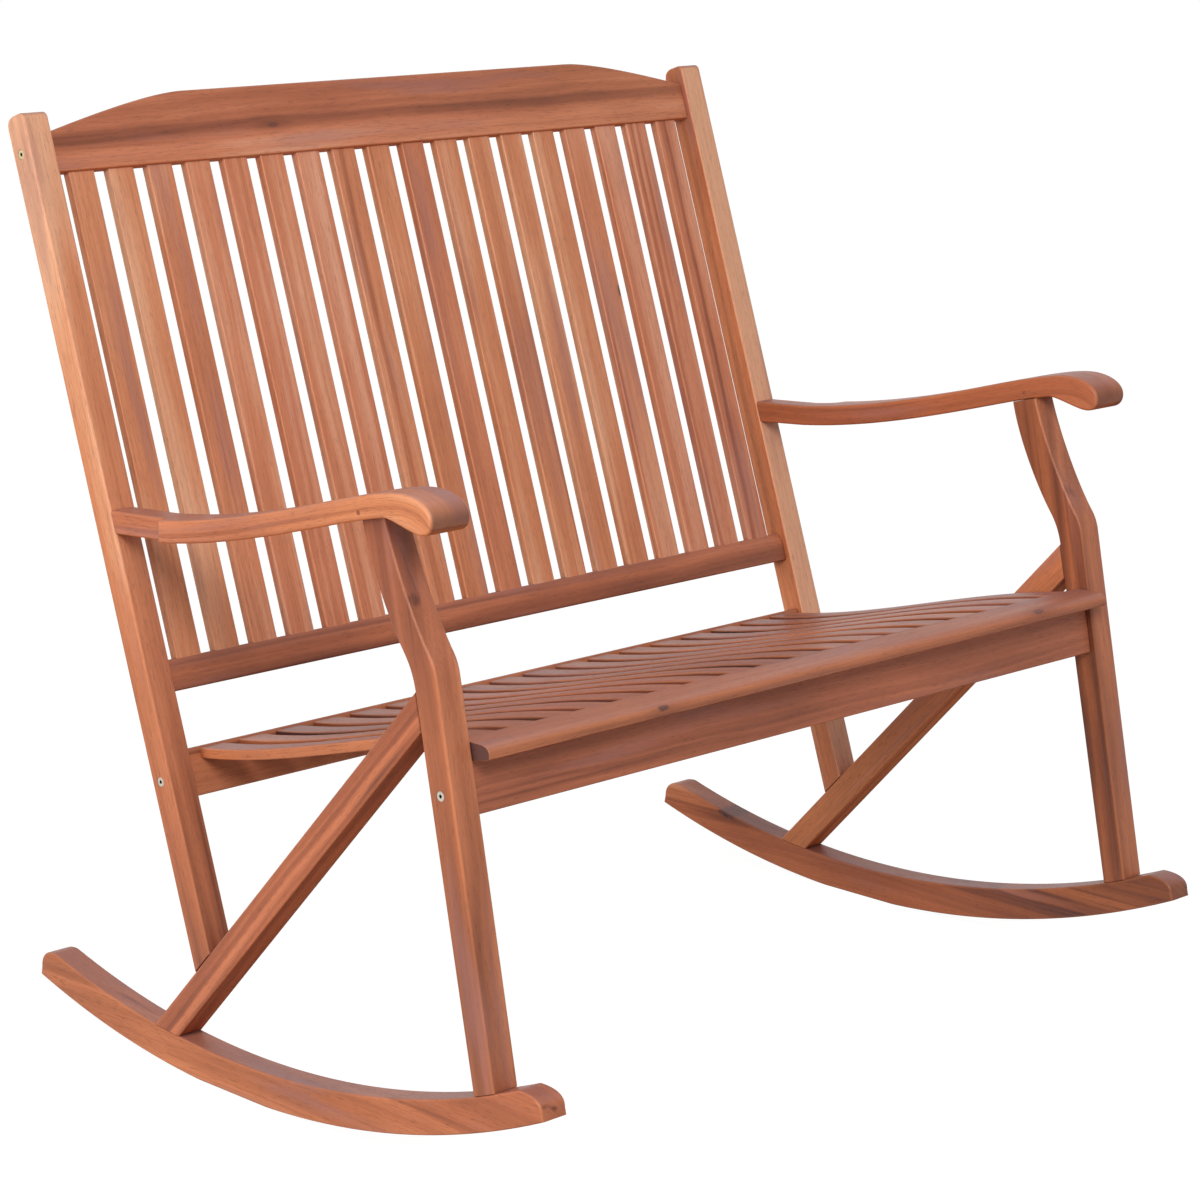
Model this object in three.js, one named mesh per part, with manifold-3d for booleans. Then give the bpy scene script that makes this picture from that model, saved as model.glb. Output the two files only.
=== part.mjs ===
// Rocking bench for two in oiled acacia, built from boards as the real one is
import * as THREE from 'three';
import { mergeVertices } from 'three/addons/utils/BufferGeometryUtils.js';
import Module from 'manifold-3d';

const wasm = await Module();
wasm.setup();

// Millimetres, +Z up, -Y to the front, and X along the seat
const frameWidth = 1100; // over the outer faces of the two side frames
const memberThickness = 35; // rockers, legs, posts and braces, along X
const fitGap = 0.3; // between two pieces that meet
const memberEase = 2; // worn edges of the side-frame boards
const cutOverrun = 14; // how far a board runs into the piece that trims it

// Rockers
const rockerRadius = 1255;
const rockerBalanceY = 8; // where the bench balances on its rockers
const rockerDepth = 41;
const rockerFrontReach = 507;
const rockerRearReach = 374;
const restFlatLength = 120; // flat at the balance point, where the bench stands still
const rockerNoseLength = 38;
const rockerNoseTip = 8;
const rockerHeelLength = 30;
const rockerHeelTip = 10;
const rockerTipSet = 2;

// Front legs
const legFloorY = -456; // where the front face would meet the floor
const legLean = 11;
const legFootDepth = 33.5;
const legKneeDepth = 37.5;
const legKneeRise = 84; // of the knee above the front of the seat
const legKneeLean = 37;
const legTopSetback = 76; // of the front edge at the arm, behind the knee
const legTopLean = 17;
const legTopDepth = 34;
const kneeFrontBlend = 13;
const kneeRearBlend = 26;
const legSweep = 42;

// Rear posts
const postFloorY = -8.7; // where the front face would meet the floor
const postLean = 18.2;
const postDepth = 34.5;
const postLength = 1143; // measured along the post from the floor
const postRearRound = 15;
const postFrontRound = 9;

// Diagonal braces
const braceFootY = 149;
const braceTopRise = 52; // of its upper face at the leg, above the front of the seat
const braceDepth = 35;

// Arms
const armThickness = 26.5;
const armOverhang = 20; // how far an arm stands out past its frame
const armKneeRise = 85; // from the knee of the front leg to the top of the tongue
const armCrownRise = 95; // from the tongue to the top of the scroll
const armCrownReach = 49; // of the crown in front of the leg
const armTipReach = 47; // of the scroll in front of the crown
const armLipDrop = 40; // from the crown to the underside of the scroll
const armTongueLength = 80; // narrow part at the post
const armStepLength = 35;
const armEase = 4;

// Rails
const railRecess = 8; // behind the front face of the post or leg
const railThickness = 22;
const railEase = 2;
const topRailDrop = 70.5; // from the end of the post to the underside of the rail
const topRailHeight = 84.5;
const topRailEndHeight = 47;
const crestHalfLength = 312;
const crestControlHalfLength = 367;
const lowRailBottom = 464.7; // along the post
const lowRailHeight = 37;
const lowRailBevel = 12;
const seatRailBottom = 342.5; // along the post
const seatRailHeight = 55.5;
const apronDrop = 77; // of its underside below the top of the seat's front
const pocketDepth = 12; // how far a slat's end enters a rail
const slatCover = 4; // wood of the seat rail above a slat

// Slats
const slatCount = 18;
const slatWidth = 36;
const slatThickness = 12;
const slatEase = 1.5;
const seatFrontHeight = 477;
const seatSetback = 18.3; // of the slats' front ends behind the legs' front faces
const seatHandleLength = 170;
const seatFrontFall = 27;
const seatRearRise = 20;
const tongueThickness = 5;
const tongueLength = 8;

// Front nosing of the seat
const nosingDepth = 46;
const nosingThickness = 19.5;
const nosingRise = 1;
const nosingRoundDepth = 15;
const nosingRoundHeight = 11;
const nosingTaperLength = 22;
const nosingTaperRise = 5;
const nosingEase = 1;

// Tenons and pins
const tenonWidth = 18;
const tenonDepth = 18;
const tenonLength = 18;
const railTenonHeight = 22;
const railTenonThickness = 11;
const pinDiameter = 5;
const pinRecess = 0.6;
const pinHeight = 8.5; // above the underside of the arm
const postPinSetback = 8.5; // behind the front face of the post
const postPinDepth = 22;

// Bolts with barrel nuts
const boltDiameter = 6;
const boltHeadDiameter = 11;
const boltHeadHeight = 3.4;
const boltHeadDepth = 4; // depth of the counterbore
const socketWidth = 4;
const socketDepth = 2.2;
const boltReach = 28; // from the rail's end to the barrel nut
const barrelDiameter = 10;
const barrelLength = 15;
const topBoltRise = 25.5; // above the underside of the top rail
const seatBoltRise = 25;
const apronBoltDrop = 52.5; // below the top of the seat's front

// Facets
const arcSteps = 14;
const curveSteps = 8;
const roundSteps = 4;
const holeSides = 12;
const headSides = 20;
const socketSides = 6;
const weldDistance = 1e-4;

// Shares of the sizes that they follow
const noseCrownShare = 0.1;
const armMiddleShare = 0.315;
const armMiddleRiseShare = 0.6;
const armRunSlopeShare = 0.26;
const armHandleShare = 0.34;
const armFrontHandleShare = 0.38;
const armCrownHandleShare = 0.2;
const scrollShare = 0.6;

const outerX = frameWidth / 2;
const innerX = outerX - memberThickness;
const middleX = outerX - memberThickness / 2;
const innerWidth = 2 * innerX;
const railHalfLength = innerX - fitGap;
const slatGap = (innerWidth - slatCount * slatWidth) / (slatCount + 1);
const slatPitch = slatWidth + slatGap;
const slatXs = Array.from({ length: slatCount }, (_, i) => (i - (slatCount - 1) / 2) * slatPitch);

const radians = (degrees) => THREE.MathUtils.degToRad(degrees);
const mix = THREE.MathUtils.lerp;
const at = (y, z) => new THREE.Vector2(y, z);
const heading = (lean) => at(Math.sin(radians(lean)), Math.cos(radians(lean)));
const along = (start, lean, distance) => start.clone().addScaledVector(heading(lean), distance);
const level = at(1, 0);

// Curves as points, each without its last point
const leadPoints = (curve, steps) => curve.getPoints(steps).slice(0, -1);
const bend = (a, b, c, steps = roundSteps) => leadPoints(new THREE.QuadraticBezierCurve(a, b, c), steps);
const sweep = (a, b, c, d, steps = curveSteps) => leadPoints(new THREE.CubicBezierCurve(a, b, c, d), steps);

function lineMeet(p, u, q, v) {
  const t = ((q.x - p.x) * v.y - (q.y - p.y) * v.x) / (u.x * v.y - u.y * v.x);
  return p.clone().addScaledVector(u, t);
}

function shifted(points, y, z) {
  return points.map((p) => at(p.x + y, p.y + z));
}

function heightAt(points, y) {
  for (let i = 1; i < points.length; i += 1) {
    const a = points[i - 1];
    const b = points[i];
    if ((a.x - y) * (b.x - y) <= 0 && a.x !== b.x) {
      return mix(a.y, b.y, (y - a.x) / (b.x - a.x));
    }
  }
  return points[points.length - 1].y;
}

function easedCorners(points, ease) {
  return points.flatMap((p, i) => {
    const before = points[(i + points.length - 1) % points.length];
    const after = points[(i + 1) % points.length];
    const towards = (q) => p.clone().add(q.clone().sub(p).setLength(ease));
    return [towards(before), towards(after)];
  });
}

// Solids and their meshes
function toSolid(geometry) {
  const bare = geometry.clone();
  bare.deleteAttribute('normal');
  bare.deleteAttribute('uv');
  const merged = mergeVertices(bare, weldDistance);
  const vertProperties = new Float32Array(merged.attributes.position.array);
  const triVerts = new Uint32Array(merged.index.array);
  return new wasm.Manifold(new wasm.Mesh({ numProp: 3, vertProperties, triVerts }));
}

function toGeometry(solid) {
  const { vertProperties, triVerts } = solid.getMesh();
  const indexed = new THREE.BufferGeometry();
  indexed.setAttribute('position', new THREE.BufferAttribute(new Float32Array(vertProperties), 3));
  indexed.setIndex(new THREE.BufferAttribute(new Uint32Array(triVerts), 1));
  const geometry = indexed.toNonIndexed();
  geometry.computeVertexNormals();
  return geometry;
}

const cut = (solid, ...tools) => tools.reduce((rest, tool) => rest.subtract(tool), solid);
const join = (solid, ...others) => others.reduce((sum, other) => sum.add(other), solid);
const bothSides = (solid) => [solid, solid.mirror([1, 0, 0])];

function mirrored(geometry) {
  const copy = geometry.clone();
  const position = copy.attributes.position;
  for (let i = 0; i < position.count; i += 3) {
    const corners = [0, 2, 1].map((k) => new THREE.Vector3().fromBufferAttribute(position, i + k));
    corners.forEach((corner, k) => position.setXYZ(i + k, -corner.x, corner.y, corner.z));
  }
  copy.computeVertexNormals();
  return copy;
}

function extruded(outline, depth, ease) {
  const options = { depth: depth - 2 * ease, bevelEnabled: ease > 0, bevelSegments: 1 };
  Object.assign(options, { bevelSize: ease, bevelThickness: ease, bevelOffset: -ease });
  return new THREE.ExtrudeGeometry(new THREE.Shape(outline), options).translate(0, 0, ease);
}

// A board cut to an outline in the YZ plane, between two places on X
const sideways = new THREE.Matrix4().makeBasis(
  new THREE.Vector3(0, 1, 0),
  new THREE.Vector3(0, 0, 1),
  new THREE.Vector3(1, 0, 0),
);

function board(outline, fromX, toX, ease = 0) {
  const geometry = extruded(outline, toX - fromX, ease).translate(0, 0, fromX);
  return toSolid(geometry.applyMatrix4(sideways));
}

// A board cut to an outline in X and in the length of a leaning post
function leaningPanel(outline, nearDepth, farDepth, ease = 0) {
  const geometry = extruded(outline, farDepth - nearDepth, ease).translate(0, 0, -farDepth);
  const up = heading(postLean);
  const basis = new THREE.Matrix4().makeBasis(
    new THREE.Vector3(1, 0, 0),
    new THREE.Vector3(0, up.x, up.y),
    new THREE.Vector3(0, -up.y, up.x),
  );
  basis.setPosition(0, postFloorY, 0);
  return toSolid(geometry.applyMatrix4(basis));
}

// A block or a round bar about a point of the YZ plane
function block(centre, lean, x, width, depth, length) {
  const geometry = new THREE.BoxGeometry(width, depth, length);
  geometry.rotateX(-radians(lean));
  return toSolid(geometry.translate(x, centre.x, centre.y));
}

function roundBar(centre, fromX, toX, diameter, sides = holeSides) {
  const geometry = new THREE.CylinderGeometry(diameter / 2, diameter / 2, toX - fromX, sides);
  geometry.rotateZ(Math.PI / 2);
  return toSolid(geometry.translate((fromX + toX) / 2, centre.x, centre.y));
}

function crossBar(centre, lean, x, diameter, length) {
  const geometry = new THREE.CylinderGeometry(diameter / 2, diameter / 2, length, holeSides);
  geometry.rotateX(-radians(lean));
  return toSolid(geometry.translate(x, centre.x, centre.y));
}

// Places on the leaning back and on the leaning front legs
const leaning = (floorY, lean) => (depth, length) => (
  along(along(at(floorY, 0), lean, length), lean + 90, depth));
const backPoint = leaning(postFloorY, postLean);
const legPoint = leaning(legFloorY, legLean);
const legLength = (depth, z) => (z + depth * Math.sin(radians(legLean))) / Math.cos(radians(legLean));
const railMiddle = railRecess + railThickness / 2;
const railBack = railRecess + railThickness;

// Rocker
const sagitta = (y) => rockerRadius - Math.sqrt(rockerRadius ** 2 - (y - rockerBalanceY) ** 2);
const flatSagitta = sagitta(rockerBalanceY + restFlatLength / 2);
const rockerUnderside = (y) => Math.max(0, sagitta(y) - flatSagitta);
const rockerTop = (y) => sagitta(y) - flatSagitta + rockerDepth;

function curveRun(curve, from, to, steps) {
  return Array.from({ length: steps }, (_, i) => {
    const y = mix(from, to, i / steps);
    return at(y, curve(y));
  });
}

function rockerEnd(reach, length, tip) {
  const side = Math.sign(reach);
  const inner = at(reach - side * length, rockerTop(reach - side * length));
  const end = at(reach - side * rockerTipSet, rockerUnderside(reach) + tip);
  const crown = at(end.x, mix(inner.y, rockerTop(end.x), noseCrownShare));
  return { inner, end, crown };
}

function rockerOutline() {
  const flatFront = rockerBalanceY - restFlatLength / 2;
  const flatRear = rockerBalanceY + restFlatLength / 2;
  const nose = rockerEnd(-rockerFrontReach, rockerNoseLength, rockerNoseTip);
  const heel = rockerEnd(rockerRearReach, rockerHeelLength, rockerHeelTip);
  return [
    ...curveRun(rockerUnderside, -rockerFrontReach, flatFront, arcSteps),
    at(flatFront, 0),
    ...curveRun(rockerUnderside, flatRear, rockerRearReach, arcSteps),
    at(rockerRearReach, rockerUnderside(rockerRearReach)),
    ...bend(heel.end, heel.crown, heel.inner, 2 * roundSteps),
    ...curveRun(rockerTop, heel.inner.x, nose.inner.x, 2 * arcSteps),
    ...bend(nose.inner, nose.crown, nose.end, 2 * roundSteps),
    nose.end,
  ];
}

// Front leg up to its knee, at a share of its depth
const legKneeHeight = seatFrontHeight + legKneeRise;
const legDepth = (z) => mix(legFootDepth, legKneeDepth, z / legKneeHeight);
const legLine = (z, depthShare) => at(
  legFloorY + z * Math.tan(radians(legLean)) + depthShare * legDepth(z),
  z,
);
const legRearStart = legLine(0, 1);
const legRearRun = legLine(legKneeHeight, 1).sub(legRearStart);
const legTopY = legLine(legKneeHeight, 0).x + legTopSetback;

// Arm, seen from the side
const armRearHeight = legKneeHeight + armKneeRise;
const postFaceY = (z) => postFloorY + z * Math.tan(radians(postLean));
const armRear = at(postFaceY(armRearHeight) + cutOverrun, armRearHeight);
const armCrown = at(legTopY - armCrownReach, armRearHeight + armCrownRise);
const armTipY = armCrown.x - armTipReach;
const armMiddle = at(
  mix(armCrown.x, armRear.x, armMiddleShare),
  mix(armRear.y, armCrown.y, armMiddleRiseShare),
);
const armLip = at(mix(armCrown.x, armTipY, scrollShare), armCrown.y - armLipDrop);

function armRun(from, to, fromSlope, toSlope, fromShare, toShare) {
  const reach = from.x - to.x;
  return sweep(
    from,
    at(from.x - reach * fromShare, from.y + reach * fromShare * fromSlope),
    at(to.x + reach * toShare, to.y - reach * toShare * toSlope),
    to,
  );
}

const armTopLine = [
  ...armRun(armRear, armMiddle, 0, armRunSlopeShare, armHandleShare, armHandleShare),
  ...armRun(armMiddle, armCrown, armRunSlopeShare, 0, armFrontHandleShare, armCrownHandleShare),
  armCrown,
];
const armUnderLine = shifted(armTopLine, 0, -armThickness);

function armOutline() {
  const scroll = armTipReach * scrollShare;
  const tip = at(armTipY, mix(armCrown.y, armLip.y, scrollShare));
  const lipFront = at(mix(armLip.x, tip.x, scrollShare), armLip.y);
  const under = armUnderLine.filter((p) => p.x > armCrown.x + scroll);
  const last = under[under.length - 1];
  return [
    ...armTopLine.slice(0, -1),
    ...sweep(armCrown, at(armCrown.x - scroll, armCrown.y), at(tip.x, tip.y + scroll / 2), tip),
    ...sweep(tip, at(tip.x, mix(tip.y, armLip.y, scrollShare)), lipFront, armLip, roundSteps),
    ...sweep(armLip, at(armLip.x + scroll / 2, armLip.y), at(last.x - scroll / 2, last.y), last),
    ...under.reverse(),
  ];
}

// Front leg, each edge with its knee and its sweep up to the arm
const legTop = at(legTopY, heightAt(armUnderLine, legTopY));

function legEdge(depthShare, depthAtTop, blend) {
  const foot = legLine(rockerTop(legFloorY) - 2 * cutOverrun, depthShare);
  const knee = legLine(legKneeHeight, depthShare);
  const before = legLine(legKneeHeight - blend, depthShare);
  const after = along(knee, legKneeLean, blend);
  const top = at(legTop.x + depthAtTop, legTop.y);
  return [
    foot,
    ...bend(before, knee, after),
    ...sweep(after, along(after, legKneeLean, legSweep), along(top, legTopLean, -legSweep), top),
    along(top, legTopLean, cutOverrun),
  ];
}

function legOutline() {
  return [...legEdge(1, legTopDepth, kneeRearBlend), ...legEdge(0, 0, kneeFrontBlend).reverse()];
}

// Brace, from the rocker up to the back of the front leg
const braceUpper = at(braceFootY, rockerTop(braceFootY));
const braceRun = legLine(seatFrontHeight + braceTopRise, 1).sub(braceUpper).normalize();
const braceLean = -THREE.MathUtils.radToDeg(Math.atan2(braceRun.x, braceRun.y));
const intoBrace = (distance) => along(braceUpper, -braceLean - 90, distance);

function braceOnLeg(depth, overrun) {
  const stop = legRearStart.clone().addScaledVector(level, -overrun);
  return lineMeet(intoBrace(depth), braceRun, stop, legRearRun);
}

function braceOnRocker(depth, overrun) {
  return lineMeet(intoBrace(depth), braceRun, at(0, braceUpper.y - overrun), level);
}

function braceOutline() {
  return [
    braceOnRocker(0, cutOverrun),
    braceOnLeg(0, cutOverrun),
    braceOnLeg(braceDepth, cutOverrun),
    braceOnRocker(braceDepth, cutOverrun),
  ];
}

// Rear post, from the top of the brace to its rounded head
function postOnBrace(depth, overrun) {
  return lineMeet(backPoint(depth, 0), heading(postLean), intoBrace(overrun), braceRun);
}

function postOutline() {
  const frontCorner = backPoint(0, postLength);
  const rearCorner = backPoint(postDepth, postLength);
  return [
    postOnBrace(0, cutOverrun),
    postOnBrace(postDepth, cutOverrun),
    ...bend(
      backPoint(postDepth, postLength - postRearRound),
      rearCorner,
      backPoint(postDepth - postRearRound, postLength),
    ),
    ...bend(backPoint(postFrontRound, postLength), frontCorner, backPoint(0, postLength - postFrontRound)),
    backPoint(0, postLength - postFrontRound),
  ];
}

// Tenons, each with the mortise that takes it
function joint(centre, lean, x, width, depth, length) {
  const slack = 2 * fitGap;
  return {
    peg: block(centre, lean, x, width, depth, length),
    slot: block(centre, lean, x, width + slack, depth + slack, length + slack),
  };
}

function boardJoint(centre, lean) {
  return joint(centre, lean, -middleX, tenonWidth, tenonDepth, 2 * tenonLength);
}

const legTopMiddleY = legTop.x + legTopDepth / 2;
const legTopMiddle = at(legTopMiddleY, heightAt(armUnderLine, legTopMiddleY));
const armTongueHeight = armRearHeight - armThickness / 2;
const legFootJoint = boardJoint(legLine(rockerTop(legRearStart.x), 1 / 2), legLean);
const braceFootJoint = boardJoint(braceOnRocker(braceDepth / 2, 0), -braceLean);
const braceTopJoint = boardJoint(braceOnLeg(braceDepth / 2, 0), -braceLean);
const postFootJoint = boardJoint(postOnBrace(postDepth / 2, 0), postLean);
const legTopJoint = boardJoint(legTopMiddle, legTopLean);
const armJoint = boardJoint(at(postFaceY(armTongueHeight), armTongueHeight), 90);
const lowRailJoint = joint(
  backPoint(railMiddle, lowRailBottom + lowRailHeight / 2),
  postLean,
  -innerX,
  2 * tenonLength,
  railTenonThickness,
  railTenonHeight,
);

// Pins
const farX = -outerX - armOverhang - cutOverrun;
const nearX = -innerX + cutOverrun;
const pinPlace = at(legTopMiddle.x, legTopMiddle.y + pinHeight);
const pinHole = roundBar(pinPlace, farX, nearX, pinDiameter + 2 * fitGap);
const postPinPlace = at(postFaceY(armTongueHeight) + postPinSetback, armTongueHeight);
const postPinHole = roundBar(postPinPlace, -innerX - postPinDepth, nearX, pinDiameter);

// Bolts, each with its hole through the board and its shank and barrel nut in the rail
function boltAt(place, lean) {
  const floorX = -outerX + boltHeadDepth;
  const headX = floorX - fitGap;
  const outX = headX - boltHeadHeight;
  const nutX = -innerX + boltReach;
  const counterbore = roundBar(place, farX, floorX, boltHeadDiameter + 2 * fitGap, headSides);
  const bore = roundBar(place, -outerX, nutX, boltDiameter + 2 * fitGap);
  const nutHole = crossBar(
    along(place, lean + 90, railThickness / 2),
    lean,
    nutX,
    barrelDiameter + 2 * fitGap,
    railThickness + barrelLength + 2 * fitGap,
  );
  const socketDiameter = socketWidth / Math.cos(Math.PI / socketSides);
  const socket = roundBar(place, farX, outX + socketDepth, socketDiameter, socketSides);
  const head = cut(roundBar(place, outX, headX, boltHeadDiameter, headSides), socket);
  const shank = roundBar(place, headX - (boltHeadHeight - socketDepth) / 2, nutX, boltDiameter);
  const nut = crossBar(place, lean, nutX, barrelDiameter, barrelLength);
  return { holes: join(counterbore, bore), nutHole, bolt: join(head, shank, nut) };
}

const topRailBottom = postLength - topRailDrop;
const apronBoltLength = legLength(railMiddle, seatFrontHeight - apronBoltDrop);
const topBolt = boltAt(backPoint(railMiddle, topRailBottom + topBoltRise), postLean);
const seatBolt = boltAt(backPoint(railMiddle, seatRailBottom + seatBoltRise), postLean);
const apronBolt = boltAt(legPoint(railMiddle, apronBoltLength), legLean);

// Side-frame boards, made for the left
const rockerSpace = board(shifted(rockerOutline(), 0, fitGap), farX, nearX);
const armSpace = board(shifted(armOutline(), 0, -fitGap), farX, nearX);
const legSpace = board(shifted(legOutline(), fitGap, 0), farX, nearX);
const braceSpace = board(shifted(braceOutline(), fitGap, fitGap), farX, nearX);
const postSpace = board(shifted(postOutline(), -fitGap, 0), farX, nearX);
const member = (outline) => board(outline, -outerX, -innerX, memberEase);

function makeRocker() {
  return cut(member(rockerOutline()), legFootJoint.slot, braceFootJoint.slot);
}

function makeLeg() {
  const blank = cut(member(legOutline()), rockerSpace, armSpace);
  const tenoned = join(blank, legFootJoint.peg, legTopJoint.peg);
  return cut(tenoned, braceTopJoint.slot, apronBolt.holes, pinHole);
}

function makeBrace() {
  const blank = cut(member(braceOutline()), rockerSpace, legSpace);
  return cut(join(blank, braceFootJoint.peg, braceTopJoint.peg), postFootJoint.slot);
}

function makePost() {
  const blank = cut(member(postOutline()), braceSpace);
  const tenoned = join(blank, postFootJoint.peg);
  return cut(tenoned, armJoint.slot, lowRailJoint.slot, topBolt.holes, seatBolt.holes, postPinHole);
}

// Arm, wide over the leg and drawn in by a cove to the width of the post
function makeArm() {
  const tongueEndY = postFaceY(armRearHeight) - armTongueLength;
  const stepY = tongueEndY - armStepLength;
  const sideX = -outerX - armOverhang;
  const plan = new THREE.Shape([
    at(farX, stepY),
    ...bend(at(sideX, stepY), at(-outerX, stepY), at(-outerX, tongueEndY), 2 * roundSteps),
    at(-outerX, tongueEndY),
    at(-outerX, armRear.x + cutOverrun),
    at(farX, armRear.x + cutOverrun),
  ]);
  const cove = new THREE.ExtrudeGeometry(plan, { depth: armCrown.y, bevelEnabled: false });
  const blank = cut(board(armOutline(), sideX, -innerX, armEase), toSolid(cove), postSpace);
  return cut(join(blank, armJoint.peg), legTopJoint.slot, pinHole, postPinHole);
}

// Seat slats, with a tongue at the front and a rear end let into the seat rail
const seatFront = at(legLine(seatFrontHeight, 0).x + seatSetback, seatFrontHeight);
const seatRear = backPoint(railRecess, seatRailBottom + seatRailHeight - slatCover);
const seatEnd = at(seatRear.x + pocketDepth, seatRear.y);

function seatOutline(slack) {
  const frontHandle = at(seatFront.x + seatHandleLength, seatFront.y - seatFrontFall);
  const rearHandle = at(seatEnd.x - seatHandleLength, seatEnd.y + seatRearRise);
  const line = sweep(seatFront, frontHandle, rearHandle, seatEnd, arcSteps);
  const top = [...line, at(seatEnd.x + slack, seatEnd.y)];
  return [...shifted(top, 0, slack), ...shifted(top, 0, -slatThickness - slack).reverse()];
}

function rectangle(y0, y1, z0, z1) {
  return [at(y0, z0), at(y1, z0), at(y1, z1), at(y0, z1)];
}

const tongueHeight = seatFront.y - slatThickness / 2;

function tongueOutline(slack) {
  const half = tongueThickness / 2 + slack;
  const tip = seatFront.x - fitGap - tongueLength - slack;
  return rectangle(tip, seatFront.x + tongueLength, tongueHeight - half, tongueHeight + half);
}

function makeSeatSlat(x) {
  const half = slatWidth / 2;
  const plank = board(seatOutline(0), x - half, x + half, slatEase);
  return join(plank, board(tongueOutline(0), x - half + slatEase, x + half - slatEase));
}

// Nosing, grooved behind for the tongues
function nosingOutline() {
  const rear = seatFront.x - fitGap;
  const front = rear - nosingDepth;
  const top = seatFront.y + nosingRise;
  const under = top - nosingThickness;
  const roundStart = at(front + nosingRoundDepth, top);
  const roundEnd = at(front, top - nosingRoundHeight);
  return [
    at(rear, under),
    at(rear, top - nosingEase),
    at(rear - nosingEase, top),
    ...bend(roundStart, at(front, top), roundEnd, 2 * roundSteps),
    roundEnd,
    at(front, under + nosingTaperRise + nosingEase),
    at(front + nosingEase, under + nosingTaperRise),
    at(front + nosingTaperLength, under),
  ];
}

function makeNosing() {
  const groove = board(tongueOutline(fitGap), -innerX, innerX);
  return cut(board(nosingOutline(), -railHalfLength, railHalfLength, nosingEase), groove);
}

// Rails under the seat
function makeApron() {
  const corner = (depth, z) => legPoint(depth, legLength(depth, z));
  const bottom = seatFront.y - apronDrop;
  const outline = easedCorners([
    corner(railRecess, bottom),
    corner(railBack, bottom),
    corner(railBack, tongueHeight),
    corner(railRecess, tongueHeight),
  ], railEase);
  const seatSpace = board(shifted(seatOutline(fitGap), -fitGap, 0), -innerX, innerX);
  const nosingSpace = board(shifted(nosingOutline(), fitGap, -fitGap), -innerX, innerX);
  const blank = cut(board(outline, -railHalfLength, railHalfLength, railEase), seatSpace, nosingSpace);
  return cut(blank, ...bothSides(apronBolt.holes), ...bothSides(apronBolt.nutHole));
}

function makeSeatRail() {
  const top = seatRailBottom + seatRailHeight;
  const outline = easedCorners([
    backPoint(railRecess, seatRailBottom),
    backPoint(railBack, seatRailBottom),
    backPoint(railBack, top),
    backPoint(railRecess, top),
  ], railEase);
  const half = slatWidth / 2 + fitGap;
  const pockets = slatXs.map((x) => board(seatOutline(fitGap), x - half, x + half));
  const rail = cut(board(outline, -railHalfLength, railHalfLength, railEase), ...pockets);
  return cut(rail, ...bothSides(seatBolt.holes), ...bothSides(seatBolt.nutHole));
}

// Back slats and the two rails that hold them
const lowRailTop = lowRailBottom + lowRailHeight;
const backSlatDepth = railRecess + (railThickness - slatThickness) / 2;

function backSlat(x, slack, ease) {
  const half = slatWidth / 2 + slack;
  const bottom = lowRailTop - pocketDepth - slack;
  const top = topRailBottom + pocketDepth + slack;
  const outline = [at(x - half, bottom), at(x + half, bottom), at(x + half, top), at(x - half, top)];
  return leaningPanel(outline, backSlatDepth - slack, backSlatDepth + slatThickness + slack, ease);
}

const backPockets = slatXs.map((x) => backSlat(x, fitGap, 0));

function makeTopRail() {
  const crest = topRailBottom + topRailHeight;
  const end = at(railHalfLength, topRailBottom + topRailEndHeight);
  const crestEnd = at(crestHalfLength, crest);
  const shoulder = bend(end, at(crestControlHalfLength, crest), crestEnd, curveSteps);
  const half = [at(railHalfLength, topRailBottom), ...shoulder, crestEnd];
  const outline = [...half, ...half.map((p) => at(-p.x, p.y)).reverse()];
  const rail = leaningPanel(outline, railRecess, railBack, railEase);
  return cut(rail, ...backPockets, ...bothSides(topBolt.holes), ...bothSides(topBolt.nutHole));
}

function makeLowRail() {
  const bevelStart = backPoint(railRecess, lowRailTop - lowRailBevel);
  const bevelEnd = backPoint(backSlatDepth, lowRailTop);
  const outline = [
    backPoint(railRecess + railEase, lowRailBottom),
    backPoint(railBack - railEase, lowRailBottom),
    backPoint(railBack, lowRailBottom + railEase),
    backPoint(railBack, lowRailTop - railEase),
    backPoint(railBack - railEase, lowRailTop),
    ...bend(bevelEnd, backPoint(railRecess, lowRailTop), bevelStart),
    bevelStart,
    backPoint(railRecess, lowRailBottom + railEase),
  ];
  const rail = board(outline, -railHalfLength, railHalfLength, railEase / 2);
  return cut(join(rail, ...bothSides(lowRailJoint.peg)), ...backPockets);
}

// The assembly, with its origin under the middle of its box
const palette = {
  frame: '#7a3f26',
  slat: '#8a4a2c',
  steel: '#b9b4a8',
};

const bench = new THREE.Group();

function place(name, colour, geometry) {
  const material = new THREE.MeshStandardMaterial({ color: colour, roughness: 0.55 });
  const mesh = new THREE.Mesh(geometry, material);
  mesh.name = name;
  bench.add(mesh);
}

function placePair(name, colour, solid) {
  const geometry = toGeometry(solid);
  place(`${name}_left`, colour, geometry);
  place(`${name}_right`, colour, mirrored(geometry));
}

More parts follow.
